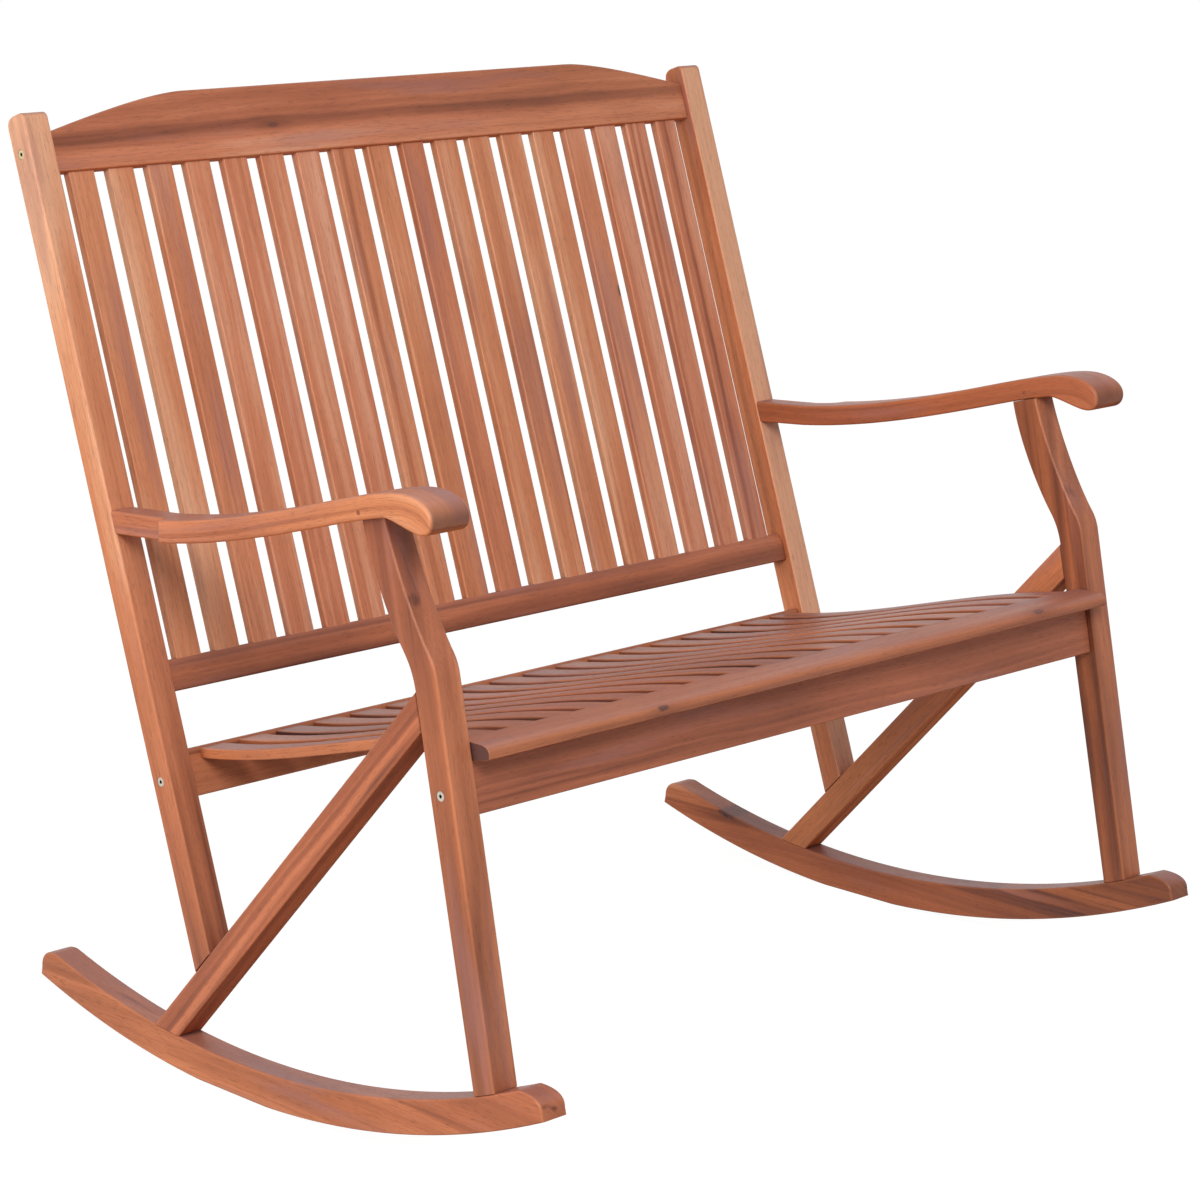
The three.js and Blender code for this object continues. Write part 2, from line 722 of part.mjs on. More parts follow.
placePair('rocker', palette.frame, makeRocker());
placePair('front_leg', palette.frame, makeLeg());
placePair('rear_post', palette.frame, makePost());
placePair('brace', palette.frame, makeBrace());
placePair('arm', palette.frame, makeArm());
placePair('arm_pin', palette.frame, roundBar(
  pinPlace,
  -outerX - armOverhang + pinRecess,
  -innerX - pinRecess,
  pinDiameter,
));
place('top_rail', palette.frame, toGeometry(makeTopRail()));
place('lower_back_rail', palette.frame, toGeometry(makeLowRail()));
place('rear_seat_rail', palette.frame, toGeometry(makeSeatRail()));
place('front_apron', palette.frame, toGeometry(makeApron()));
place('seat_nosing', palette.frame, toGeometry(makeNosing()));
placePair('top_bolt', palette.steel, topBolt.bolt);
placePair('seat_bolt', palette.steel, seatBolt.bolt);
placePair('apron_bolt', palette.steel, apronBolt.bolt);

slatXs.forEach((x, i) => {
  const number = String(i + 1).padStart(2, '0');
  place(`back_slat_${number}`, palette.slat, toGeometry(backSlat(x, 0, slatEase)));
  place(`seat_slat_${number}`, palette.slat, toGeometry(makeSeatSlat(x)));
});

const box = new THREE.Box3().setFromObject(bench);
bench.position.y = -(box.min.y + box.max.y) / 2;

const part = new THREE.Group();
part.add(bench);

export default part;
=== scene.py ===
# Rocking bench in oiled acacia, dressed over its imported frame
import math
import random
import zlib

import bmesh
import bpy
from bpy.props import FloatProperty, FloatVectorProperty, IntProperty, PointerProperty
from mathutils import Matrix, Vector
from mathutils.geometry import interpolate_bezier


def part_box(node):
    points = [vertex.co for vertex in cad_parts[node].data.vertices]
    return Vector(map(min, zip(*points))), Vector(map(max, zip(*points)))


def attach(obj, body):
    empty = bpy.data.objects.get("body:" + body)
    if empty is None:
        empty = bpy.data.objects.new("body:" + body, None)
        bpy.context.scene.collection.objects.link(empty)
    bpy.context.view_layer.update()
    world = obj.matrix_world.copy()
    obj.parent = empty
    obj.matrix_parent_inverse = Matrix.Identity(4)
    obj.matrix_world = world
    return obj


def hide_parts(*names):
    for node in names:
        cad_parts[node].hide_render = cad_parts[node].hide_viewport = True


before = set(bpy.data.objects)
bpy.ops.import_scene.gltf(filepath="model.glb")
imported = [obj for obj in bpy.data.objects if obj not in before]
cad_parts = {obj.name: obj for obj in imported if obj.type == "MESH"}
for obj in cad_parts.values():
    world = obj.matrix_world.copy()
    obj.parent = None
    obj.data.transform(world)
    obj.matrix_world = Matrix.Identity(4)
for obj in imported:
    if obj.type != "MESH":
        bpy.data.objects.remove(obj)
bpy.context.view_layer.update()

bl_info = {
    "name": "Rocking Bench",
    "version": (1, 0, 0),
    "blender": (4, 5, 0),
    "location": "View3D > Sidebar > Bench",
    "description": "Boards, slats, bolts and stage of a wooden rocking bench over its CAD frame",
    "category": "Object",
}

BODY = "root"

# Side frames, in metres and radians, as in the CAD
OUTER_X = 0.55
BOARD = 0.035
INNER_X = OUTER_X - BOARD
GAP = 0.0003
OVERRUN = 0.014
ROCKER_RADIUS = 1.255
BALANCE_Y = 0.008
ROCKER_DEPTH = 0.041
FRONT_REACH, REAR_REACH = 0.507, 0.374
FLAT = 0.120
NOSE, NOSE_TIP = 0.038, 0.008
HEEL, HEEL_TIP = 0.030, 0.010
TIP_SET = 0.002
CROWN_SHARE = 0.1
LEG_FLOOR_Y = -0.456
LEG_LEAN = math.radians(11)
LEG_FOOT_DEPTH, LEG_KNEE_DEPTH, LEG_TOP_DEPTH = 0.0335, 0.0375, 0.034
SEAT_HEIGHT = 0.477
KNEE_HEIGHT = SEAT_HEIGHT + 0.084
KNEE_LEAN = math.radians(37)
LEG_TOP_SETBACK = 0.076
LEG_TOP_LEAN = math.radians(17)
LEG_SWEEP = 0.042
POST_FLOOR_Y = -0.0087
POST_LEAN = math.radians(18.2)
POST_DEPTH = 0.0345
POST_LENGTH = 1.143
POST_REAR_ROUND, POST_FRONT_ROUND = 0.015, 0.009
BRACE_FOOT_Y = 0.149
BRACE_RISE = 0.052
BRACE_DEPTH = 0.035
BRACE_REACH = 0.9

# The legs' edges between knee and arm; the rear one lies a few millimetres behind the CAD's
LEG_SWELL = 0.0035
KNEE_DROP = 0.011
LEG_REAR_LEAN = math.radians(8)
KNEE_FRONT, KNEE_REAR = 0.013, 0.021

# Arms
ARM_THICKNESS = 0.0265
ARM_OVERHANG = 0.020
ARM_REAR = KNEE_HEIGHT + 0.085
ARM_RISE = 0.095
ARM_MIDDLE, ARM_MIDDLE_RISE, ARM_MIDDLE_SLOPE = 0.315, 0.6, 0.26
REAR_HANDLES, FRONT_HANDLES = (0.34, 0.34), (0.38, 0.2)
CROWN_REACH = 0.049
TIP_REACH = 0.047
LIP_DROP = 0.040
TONGUE = 0.080
STEP, STEP_ROUND = 0.035, 0.002
SCROLL_SHARE = 0.6
SCROLL_DIP = 0.022
PIN_DIAMETER, PIN_RISE, PIN_RECESS = 0.005, 0.0085, 0.0007

# Rails, by their place along the post
RAIL_RECESS = 0.008
RAIL_THICKNESS = 0.022
RAIL_MIDDLE = RAIL_RECESS + RAIL_THICKNESS / 2
RAIL_BACK = RAIL_RECESS + RAIL_THICKNESS
RAIL_END = INNER_X - GAP
TOP_RAIL = POST_LENGTH - 0.0705
TOP_RAIL_HEIGHT, TOP_RAIL_END = 0.0845, 0.047
CREST, CREST_CONTROL = 0.312, 0.367
LOW_RAIL, LOW_RAIL_HEIGHT, LOW_RAIL_BEVEL = 0.4647, 0.037, 0.012
SEAT_RAIL, SEAT_RAIL_HEIGHT = 0.3425, 0.0555
APRON_DROP = 0.077
POCKET = 0.012
SLAT_COVER = 0.004

# Seat
SEAT_SETBACK = 0.0183
SEAT_HANDLE = 0.170
SEAT_FALL, SEAT_RISE = 0.027, 0.020
NOSING_DEPTH, NOSING_THICKNESS, NOSING_RISE = 0.046, 0.0195, 0.001
NOSING_ROUND_DEPTH, NOSING_ROUND_HEIGHT = 0.015, 0.011
NOSING_TAPER, NOSING_TAPER_RISE, NOSING_EASE = 0.022, 0.005, 0.001

# Bolts
BORE_DIAMETER, BORE_DEPTH, BORE_SIDES = 0.0116, 0.004, 40
TOP_BOLT, SEAT_BOLT, APRON_BOLT = 0.0255, 0.025, 0.0525
HEAD_FACE = OUTER_X - GAP
SOCKET_RIM, SOCKET_FLOOR = 0.0002, 0.0012

# Meshes
ROUND_STEPS, CURVE_STEPS, SWEEP_STEPS = 4, 14, 24
UNDER_STEPS, TREAD_STEPS = (40, 36), 80
ARM_STEPS, SCROLL_STEPS, LIP_STEPS = (30, 24), 22, (14, 12)
NEARLY_STRAIGHT = 0.12
MIN_STEP = 0.001
WELD = 1e-6
HALVINGS = 40
JOINT_EASE, RAIL_EASE, SEAT_NOSING_EASE = 0.12, 0.4, 0.3
CRISP_ANGLE = math.radians(38)
NORMAL_WEIGHT = 60

# Stage, in metres, degrees and millimetres of lens
FLOOR_HALF, FLOOR_DROP = 14.0, 0.0005
FLOOR_GLOW, FLOOR_GLOW_SHARE = 1.33, 0.72
TARGET = Vector((0, 0, 0.55))
KEY_PLACE, KEY_SIZE = (-2.6, -3.2, 3.3), 2.2
SIDE_PLACE, SIDE_SIZE = (-6.0, 0.4, 1.5), 2.5
CAMERA_PLACE, CAMERA_TILT, CAMERA_TURN = (-2.8487, -2.8882, 1.4194), 77.21, -44.24
LENS, SENSOR = 104.43, 36

# From the side frames' own Y to the Y of the CAD, which is centred on its box
SHIFT_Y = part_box("rocker_left")[0][1] + FRONT_REACH


# Points in the plane of a side frame, as (y, z)
def heading(lean):
    return Vector((math.sin(lean), math.cos(lean)))


def along(start, lean, distance):
    return start + heading(lean) * distance


def mix(a, b, share):
    return a + (b - a) * share


def bend(a, b, c, steps):
    """Points of a quadratic curve."""
    shares = [i / steps for i in range(steps + 1)]
    return [a * (1 - t) ** 2 + b * 2 * t * (1 - t) + c * t * t for t in shares]


def sweep(a, b, c, d, steps):
    """Points of a cubic curve."""
    handles = [p.to_3d() for p in (a, b, c, d)]
    return [Vector(p[:2]) for p in interpolate_bezier(*handles, steps + 1)]


def height_at(points, y):
    for a, b in zip(points, points[1:]):
        if (a.x - y) * (b.x - y) <= 0 and a.x != b.x:
            return mix(a.y, b.y, (y - a.x) / (b.x - a.x))
    return points[-1].y


def spatial(p, x=0.0):
    return Vector((x, p.x + SHIFT_Y, p.y))


def post_point(depth, length):
    foot = along(Vector((POST_FLOOR_Y, 0)), POST_LEAN, length)
    return along(foot, POST_LEAN + math.pi / 2, depth)


def post_face_y(z):
    return POST_FLOOR_Y + z * math.tan(POST_LEAN)


def leg_point(depth, z):
    """A place at a height and a depth behind the straight part of the leg's front face."""
    length = (z + depth * math.sin(LEG_LEAN)) / math.cos(LEG_LEAN)
    return along(along(Vector((LEG_FLOOR_Y, 0)), LEG_LEAN, length), LEG_LEAN + math.pi / 2, depth)


def leg_line(z, share):
    """A place on the straight part of the leg, by its share of the depth."""
    depth = mix(LEG_FOOT_DEPTH, LEG_KNEE_DEPTH, z / KNEE_HEIGHT)
    return Vector((LEG_FLOOR_Y + z * math.tan(LEG_LEAN) + share * depth, z))


def sagitta(y):
    return ROCKER_RADIUS - math.sqrt(ROCKER_RADIUS ** 2 - (y - BALANCE_Y) ** 2)


FLAT_SAGITTA = sagitta(BALANCE_Y + FLAT / 2)


def rocker_under(y):
    return max(0.0, sagitta(y) - FLAT_SAGITTA)


def rocker_top(y):
    return sagitta(y) - FLAT_SAGITTA + ROCKER_DEPTH


BRACE_UPPER = Vector((BRACE_FOOT_Y, rocker_top(BRACE_FOOT_Y)))
BRACE_RUN = leg_line(SEAT_HEIGHT + BRACE_RISE, 1) - BRACE_UPPER
BRACE_LEAN = math.atan2(BRACE_RUN.x, BRACE_RUN.y)


def into_brace(distance):
    """The place where the upper face of the brace starts, moved into its depth."""
    return along(BRACE_UPPER, BRACE_LEAN - math.pi / 2, distance)


LEG_TOP_Y = leg_line(KNEE_HEIGHT, 0).x + LEG_TOP_SETBACK
ARM_BACK = Vector((post_face_y(ARM_REAR) + OVERRUN, ARM_REAR))
ARM_CROWN = Vector((LEG_TOP_Y - CROWN_REACH, ARM_REAR + ARM_RISE))


def arm_run(a, b, slopes, handles, steps):
    """A curve between two points with their slopes, and handles as shares of its reach."""
    first, last = ((a.x - b.x) * share for share in handles)
    first, last = Vector((-first, first * slopes[0])), Vector((last, -last * slopes[1]))
    return sweep(a, a + first, b + last, b, steps)


def arm_top_line():
    middle = Vector((
        mix(ARM_CROWN.x, ARM_BACK.x, ARM_MIDDLE), mix(ARM_BACK.y, ARM_CROWN.y, ARM_MIDDLE_RISE)))
    rear = arm_run(ARM_BACK, middle, (0, ARM_MIDDLE_SLOPE), REAR_HANDLES, ARM_STEPS[0])
    front = arm_run(middle, ARM_CROWN, (ARM_MIDDLE_SLOPE, 0), FRONT_HANDLES, ARM_STEPS[1])
    return rear[:-1] + front


ARM_TOP = arm_top_line()
ARM_UNDER = [p - Vector((0, ARM_THICKNESS)) for p in ARM_TOP]


def seat_line():
    """Front end, its handle, rear handle and rear end of the top of a seat slat."""
    front = Vector((leg_line(SEAT_HEIGHT, 0).x + SEAT_SETBACK, SEAT_HEIGHT))
    rear = post_point(RAIL_RECESS, SEAT_RAIL + SEAT_RAIL_HEIGHT - SLAT_COVER)
    end = Vector((rear.x + POCKET, rear.y))
    handles = front + Vector((SEAT_HANDLE, -SEAT_FALL)), end + Vector((-SEAT_HANDLE, SEAT_RISE))
    return front, *handles, end


# Properties
def length_property(name, description, default, low, high):
    return FloatProperty(
        name=name, description=description, default=default, min=low, max=high, unit="LENGTH")


def colour_property(name, description, default):
    return FloatVectorProperty(
        name=name, description=description, default=default, subtype="COLOR", size=3, min=0, max=1)


def power_property(name, default):
    return FloatProperty(
        name=name, description=f"Power of the {name.lower()} in watts", default=default, min=0)


class BoardSizes(bpy.types.PropertyGroup):
    """Rounding of the boards."""
    arris: length_property("Arris", "Radius of the side frames' edges", 0.0027, 0.0005, 0.008)
    arm_arris: length_property("Arm arris", "Radius of the arms' edges", 0.004, 0.001, 0.01)
    rail_arris: length_property("Rail arris", "Radius of the rails' edges", 0.0024, 0.0005, 0.006)


class SlatSizes(bpy.types.PropertyGroup):
    """Slats of the back and of the seat."""
    count: IntProperty(
        name="Count", description="Slats in each row",
        default=sum(n.startswith("back_slat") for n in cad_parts), min=2, max=40)
    width: length_property("Width", "Width of a slat", 0.036, 0.01, 0.1)
    thickness: length_property("Thickness", "Thickness of a slat", 0.012, 0.004, 0.04)
    arris: length_property("Arris", "Radius of a slat's long edges", 0.002, 0.0002, 0.005)
    seed: IntProperty(name="Seed", description="Picks the planks of the slats", default=4, min=0)


class WoodLook(bpy.types.PropertyGroup):
    """Colours of the oiled wood and its finish, and of the painted sheen and shade on its faces."""
    pale: colour_property("Pale wood", "Palest planks", (0.88, 0.445, 0.250))
    sapwood: colour_property("Sapwood", "Light bands", (0.71, 0.250, 0.103))
    heartwood: colour_property("Heartwood", "Most of the wood", (0.50, 0.155, 0.060))
    dark_grain: colour_property("Dark grain", "Dark bands", (0.235, 0.069, 0.030))
    knot: colour_property("Knot", "Knots and the darkest streaks", (0.055, 0.022, 0.022))
    russet: colour_property("Russet", "Tints the redder planks", (0.93, 0.82, 0.92))
    # Plum patches of the wood's own colour, and the painted sheen on faces that look up, a painted
    # reflection of the sky
    plum_and_sheen: colour_property("Mauve", "Faded bloom of faces that look up", (0.36, 0.160, 0.145))
    # Painted sheen on faces that look ahead, a painted reflection of the bright surroundings
    painted_front_sheen: colour_property("Dusty", "Bleached bloom of faces that look ahead", (0.66, 0.34, 0.26))
    # Painted shade on faces that look down
    painted_underside_shade: colour_property("Sheltered", "Tints faces that look down", (0.92, 0.66, 0.42))
    end_grain: colour_property("End grain", "Sawn ends, matt and dark", (0.110, 0.046, 0.038))
    ring_width: length_property("Band width", "Mean width of a band of grain", 0.019, 0.001, 0.05)
    gloss: FloatProperty(
        name="Roughness", description="Mean roughness of the oiled surface", default=0.42,
        min=0, max=1, subtype="FACTOR")


class MetalLook(bpy.types.PropertyGroup):
    """Colours of the bolts."""
    steel: colour_property("Steel", "Zinc-plated bolts", (0.58, 0.54, 0.46))
    brass: colour_property("Brass", "Yellow-passivated bolts", (0.72, 0.58, 0.34))


class StageLook(bpy.types.PropertyGroup):
    """Floor and light."""
    floor: colour_property("Floor", "Colour of the floor", (0.52, 0.52, 0.52))
    key: power_property("Key light", 126.0)
    side: power_property("Side light", 140.0)
    sky: FloatProperty(name="Sky", description="Strength of the even light", default=0.36, min=0)


GROUPS = {
    "bench_boards": BoardSizes,
    "bench_slats": SlatSizes,
    "bench_wood": WoodLook,
    "bench_metal": MetalLook,
    "bench_stage": StageLook,
}


# Materials
class Flow:
    """A socket's value, whose operators add the Math nodes of an expression."""

    def __init__(self, nodes, socket):
        self.nodes = nodes
        self.socket = socket

    def maths(self, operation, *values):
        return self.nodes.node("ShaderNodeMath", {"operation": operation}, dict(enumerate(values)))

    def __add__(self, other):
        return self.maths("ADD", self, other)

    def __sub__(self, other):
        return self.maths("SUBTRACT", self, other)

    def __rsub__(self, other):
        return self.maths("SUBTRACT", other, self)

    def __mul__(self, other):
        return self.maths("MULTIPLY", self, other)

    def __neg__(self):
        return self.maths("MULTIPLY", self, -1.0)

    def __truediv__(self, other):
        return self.maths("DIVIDE", self, other)

    def __pow__(self, other):
        return self.maths("POWER", self, other)

    __radd__ = __add__
    __rmul__ = __mul__

    def clamped(self, low, high):
        """Goes from 0 to 1 as the value goes from low to high."""
        return self.nodes.node(
            "ShaderNodeMapRange", {"interpolation_type": "SMOOTHSTEP"},
            {"Value": self, 1: low, 2: high})

    def at_least(self, other):
        return self.maths("MAXIMUM", self, other)

    @property
    def size(self):
        return self.maths("ABSOLUTE", self)


class Nodes:
    """A node tree, to which one method adds every node."""

    def __init__(self, tree):
        self.tree = tree
        self.tree.nodes.clear()

    def node(self, kind, settings=None, values=None, output=0):
        """Adds a node, sets it up, fills its sockets and returns one of its outputs."""
        node = self.tree.nodes.new(kind)
        for key, value in (settings or {}).items():
            if key == "stops":
                self.fill_ramp(node.color_ramp, value)
            else:
                setattr(node, key, value)
        for key, value in (values or {}).items():
            if isinstance(value, Flow):
                self.tree.links.new(value.socket, node.inputs[key])
            else:
                node.inputs[key].default_value = value
        return Flow(self, node.outputs[output]) if node.outputs else None

    @staticmethod
    def fill_ramp(ramp, stops):
        while len(ramp.elements) < len(stops):
            ramp.elements.new(1.0)
        for element, (place, colour) in zip(ramp.elements, stops):
            element.position = place
            element.color = (*colour, 1.0)

    def split(self, place):
        first = self.node("ShaderNodeSeparateXYZ", {}, {0: place})
        return [Flow(self, s) for s in first.socket.node.outputs]

    def seen(self):
        """1 for what the camera, a gloss or a glass shows, and 0 for light."""
        kinds = ("Is Camera Ray", "Is Glossy Ray", "Is Transmission Ray")
        camera, glossy, through = (
            self.node("ShaderNodeLightPath", {}, {}, kind) for kind in kinds)
        return camera.at_least(glossy).at_least(through)


class Finish(Nodes):
    """A material."""

    def __init__(self, name):
        self.material = bpy.data.materials.new(name)
        self.material.use_nodes = True
        super().__init__(self.material.node_tree)

    def blend(self, share, a, b):
        a, b = (v if isinstance(v, Flow) else (*v, 1.0) for v in (a, b))
        return self.node("ShaderNodeMix", {"data_type": "RGBA"}, {0: share, 6: a, 7: b}, 2)

    def product(self, a, b):
        return self.node("ShaderNodeVectorMath", {"operation": "MULTIPLY"}, {0: a, 1: b})

    def attribute(self, name, output="Fac"):
        return self.node("ShaderNodeAttribute", {"attribute_name": name}, output=output)

    def noise(self, place, scale, detail=2.0, roughness=0.5):
        """Noise on a place that is stretched by a scale for each axis."""
        return self.node("ShaderNodeTexNoise", {}, {
            "Vector": self.product(place, scale), "Scale": 1.0, "Detail": detail,
            "Roughness": roughness})

    def bands(self, place, width):
        """Uneven bands across a place, around 0."""
        return self.node("ShaderNodeTexNoise", {"noise_dimensions": "1D"}, {
            "W": place / width, "Scale": 1.0, "Detail": 2.0, "Roughness": 0.5}) - 0.5

    def bump(self, height, strength, distance):
        return self.node("ShaderNodeBump", {}, {
            "Height": height, "Strength": strength, "Distance": distance})

    def surface(self, values):
        shader = self.node("ShaderNodeBsdfPrincipled", {}, values)
        self.node("ShaderNodeOutputMaterial", {}, {"Surface": shader})
        return self.material


KNOTS = ("knot_a", "knot_b")
BANDS = ("band_a", "band_b")

# Scales of the noise along, across and through a plank, and on the metal
PLANKS, SWAY, RIPPLE, RAGGED = (0.5, 3, 3), (1.3, 5, 5), (9, 45, 45), (220, 420, 420)
PATCHES, PLUM, STREAKS = (3.5, 16, 16), (3, 28, 28), (1.4, 80, 80)
FIBRES, PORES, WEAR = (14, 420, 420), (75, 820, 820), (30, 200, 200)
PIN_RINGS, TURNING, DULLING = (20, 900, 900), (60, 2600, 2600), (300, 300, 300)


def acacia(name, look):
    """Oiled acacia: soft bands, dark streaks, fibres, pores, a knot, end grain, arrises lightened
    by wear and a painted highlight, and painted sheen and shade by the way each face looks.
    """
    wood = Finish(name)
    grain = wood.attribute("grain", "Vector")
    length, across, through = wood.split(grain)
    arris = wood.attribute("arris")
    end = wood.attribute("end")

    # The bands run along the plank, sway, and part around the knots
    sway = wood.noise(grain, SWAY) - 0.5
    ripple = wood.noise(grain, RIPPLE) - 0.5
    ragged = wood.noise(grain, RAGGED) - 0.5
    lane = across * 0.75 + through * 0.66 + sway * 0.05 + ripple * 0.004
    eyes, rims = [], []
    for key in KNOTS:
        knot_length, knot_across, knot_size = wood.split(wood.attribute(key, "Vector"))
        away_along = (length - knot_length) / knot_size
        away_across = (across - knot_across) / knot_size
        distance = (away_along * away_along * 0.14 + away_across * away_across) ** 0.5
        rims.append(1.0 - distance.clamped(0.2, 4.0))
        eyes.append(1.0 - (distance + ragged * 0.9).clamped(0.5, 0.95))
        lane = lane - (across - knot_across) * rims[-1] * 0.6
    rim = rims[0].at_least(rims[1])
    broad, fine = wood.bands(lane, look.ring_width), wood.bands(lane, look.ring_width * 0.22)
    patches = wood.noise(grain, PATCHES, 3.0) - 0.5
    streaks = wood.noise(grain, STREAKS, 1.5).clamped(0.62, 0.80)
    fibres = wood.noise(grain, FIBRES, 3.0, 0.6)
    pores = wood.noise(grain, PORES, 1.0).clamped(0.58, 0.70)

    # How dark the wood is, from 0 to 1; the tone attribute adds painted light and shade to it
    depth = 0.40 + broad * 0.52 + fine * 0.14 + patches * 0.55 + streaks * 0.30 + rim * 0.12
    depth = depth + wood.attribute("tone")
    wander = across + sway * 0.03 + ripple * 0.006
    for key in BANDS:
        centre, half, strength = wood.split(wood.attribute(key, "Vector"))
        near = 1.0 - ((wander - centre) / half).size.clamped(0.35, 1.25)
        depth = depth + near * strength
    stops = [(0.0, look.pale), (0.21, look.sapwood), (0.45, look.heartwood),
             (0.74, look.dark_grain), (1.0, look.knot)]
    colour = wood.node("ShaderNodeValToRGB", {"stops": stops}, {0: depth})
    russet = wood.noise(grain, PLANKS, 1.0).clamped(0.40, 0.62)
    colour = wood.blend(russet * 0.7, colour, wood.product(colour, look.russet))
    colour = wood.blend((fibres - 0.42).clamped(0.0, 0.3) * 0.26, colour, look.dark_grain)
    colour = wood.blend(pores * 0.26, colour, look.knot)
    colour = wood.blend(eyes[0].at_least(eyes[1]) * wood.attribute("stain"), colour, look.knot)

    # Painted light by the way that each face looks: painted sheen on faces that look ahead and up,
    # painted shade on faces that look down, and plum patches
    _, forward, upward = wood.split(wood.node("ShaderNodeNewGeometry", output="Normal"))
    # Painted sheen: faces that look ahead and up are paled towards pink, a painted reflection of
    # the bright surroundings; darker wood gets less
    front_sheen_share = (upward - forward).clamped(0.7, 1.2) * (0.18 - depth * 0.2)
    colour = wood.blend(front_sheen_share, colour, look.painted_front_sheen)
    # Painted shade: faces that look down are made darker and more orange, and rougher
    painted_underside_shade = (-upward).clamped(0.3, 0.7) * 0.8
    colour = wood.blend(painted_underside_shade, colour, wood.product(colour, look.painted_underside_shade))
    # Plum patches of the wood, kept off faces that look down, and a painted sheen on faces that
    # look up, a painted reflection of the sky
    plum = wood.noise(grain, PLUM).clamped(0.54, 0.72) * upward.clamped(-0.7, 0.0) * 0.42
    plum_and_sheen_share = plum + upward.clamped(0.5, 0.97) * (0.44 + patches * 0.5)
    colour = wood.blend(plum_and_sheen_share, colour, look.plum_and_sheen)

    # Sawn ends, painted shade in crevices, and edges lightened by wear and a painted highlight
    colour = wood.blend(end, colour, look.end_grain)
    # Painted shade: ambient occlusion darkens crevices, joints and the gaps between slats towards
    # the knot colour
    painted_crevice_shade = 1.0 - wood.node("ShaderNodeAmbientOcclusion", {"samples": 4}, {"Distance": 0.009}, "AO")
    colour = wood.blend(painted_crevice_shade.clamped(0.38, 1.0) * 0.8, colour, look.knot)
    # Arrises lightened towards sapwood, as wear and as a painted highlight along the rounded edges
    worn_and_lit_edge = arris * (0.05 + 0.3 * wood.noise(grain, WEAR))
    colour = wood.blend(worn_and_lit_edge, colour, look.sapwood)

    roughness = look.gloss + (fibres - 0.5) * 0.22 + pores * 0.16
    roughness = roughness + end * 0.2 + painted_underside_shade * 0.5 - arris * 0.08
    bump = wood.bump(fibres * 0.6 - pores * 0.9 + fine * 0.3, 0.22, 0.0006)
    return wood.surface({
        "Base Color": colour, "Roughness": roughness, "Normal": bump, "Specular IOR Level": 0.28})


def pin_wood(name, look):
    """End grain of the pins, on object coordinates."""
    wood = Finish(name)
    place = wood.node("ShaderNodeTexCoord", {}, {}, "Object")
    rings = wood.noise(place, PIN_RINGS, 3.0)
    light = [c * 1.5 for c in look.dark_grain]
    colour = wood.blend(rings.clamped(0.3, 0.8), light, look.dark_grain)
    return wood.surface({
        "Base Color": colour, "Roughness": 0.5 + rings * 0.2,
        "Normal": wood.bump(rings, 0.3, 0.0003)})


def plated(name, colour):
    """Plated metal with faint turning marks, dulled patches and painted shade in its socket."""
    metal = Finish(name)
    place = metal.node("ShaderNodeTexCoord", {}, {}, "Object")
    patches = metal.noise(place, DULLING, 3.0)
    tint = metal.blend(patches.clamped(0.45, 0.75) * 0.5, colour, [c * 0.55 for c in colour])
    face = metal.split(place)[0].size
    # Painted shade: the socket's walls and floor are darkened nearly to black
    painted_socket_shade = 1.0 - face.clamped(HEAD_FACE - SOCKET_FLOOR, HEAD_FACE - SOCKET_RIM)
    tint = metal.blend(painted_socket_shade * 0.93, tint, [c * 0.05 for c in colour])
    return metal.surface({
        "Base Color": tint, "Metallic": 1.0, "Roughness": 0.28 + patches * 0.2,
        "Normal": metal.bump(metal.noise(place, TURNING), 0.1, 0.0002)})


def finish(name):
    """A finish by its name, made once."""
    scene = bpy.context.scene
    makers = {
        "acacia": lambda: acacia(name, scene.bench_wood),
        "pin_wood": lambda: pin_wood(name, scene.bench_wood),
        "steel": lambda: plated(name, list(scene.bench_metal.steel)),
        "brass": lambda: plated(name, list(scene.bench_metal.brass)),
    }
    return bpy.data.materials.get(name) or makers[name]()


# Meshes
def linked(name, data):
    """A new object in the scene."""
    obj = bpy.data.objects.new(name, data)
    bpy.context.scene.collection.objects.link(obj)
    return obj


def piece(name, mesh, replaced):
    """A finished piece of wood that rides on the bench and stands for CAD nodes."""
    mesh.name = name
    obj = linked(name, mesh)
    mesh.materials.clear()
    mesh.materials.append(finish("acacia"))
    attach(obj, BODY)
    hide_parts(*replaced)
    return obj


def plain_mesh(mesh, modifiers):
    """The mesh after some modifiers, each a type with its settings."""
    holder = linked("holder", mesh)
    for kind, settings in modifiers:
        modifier = holder.modifiers.new(kind.lower(), kind)
        for key, value in settings.items():
            setattr(modifier, key, value)
    evaluated = holder.evaluated_get(bpy.context.evaluated_depsgraph_get())
    result = bpy.data.meshes.new_from_object(evaluated)
    bpy.data.objects.remove(holder)
    return result


def shaded(mesh):
    """The mesh, smooth over its rounding and crisp at its corners."""
    mesh.shade_smooth()
    mesh.set_sharp_from_angle(angle=CRISP_ANGLE)
    return plain_mesh(mesh, [("WEIGHTED_NORMAL", {"weight": NORMAL_WEIGHT, "keep_sharp": True})])


def edge_insets(points, eases, radius):
    """For each corner, the way in from the outline to where both its edges' rounding ends, and
    the larger of their radii."""
    insets, radii = [], []
    for i, p in enumerate(points):
        normals = []
        for a, b in ((points[i - 1], p), (p, points[(i + 1) % len(points)])):
            run = (b - a).normalized()
            normals.append(Vector((-run.y, run.x)))
        sizes = [radius * eases[i - 1], radius * eases[i]]
        cross = normals[0].x * normals[1].y - normals[0].y * normals[1].x
        if abs(cross) < NEARLY_STRAIGHT:
            inset = (normals[0] + normals[1]).normalized() * (sum(sizes) / 2)
        else:
            inset = Vector((
                (sizes[0] * normals[1].y - sizes[1] * normals[0].y) / cross,
                (sizes[1] * normals[0].x - sizes[0] * normals[1].x) / cross,
            ))
        insets.append(inset)
        radii.append(max(sizes))
    return insets, radii


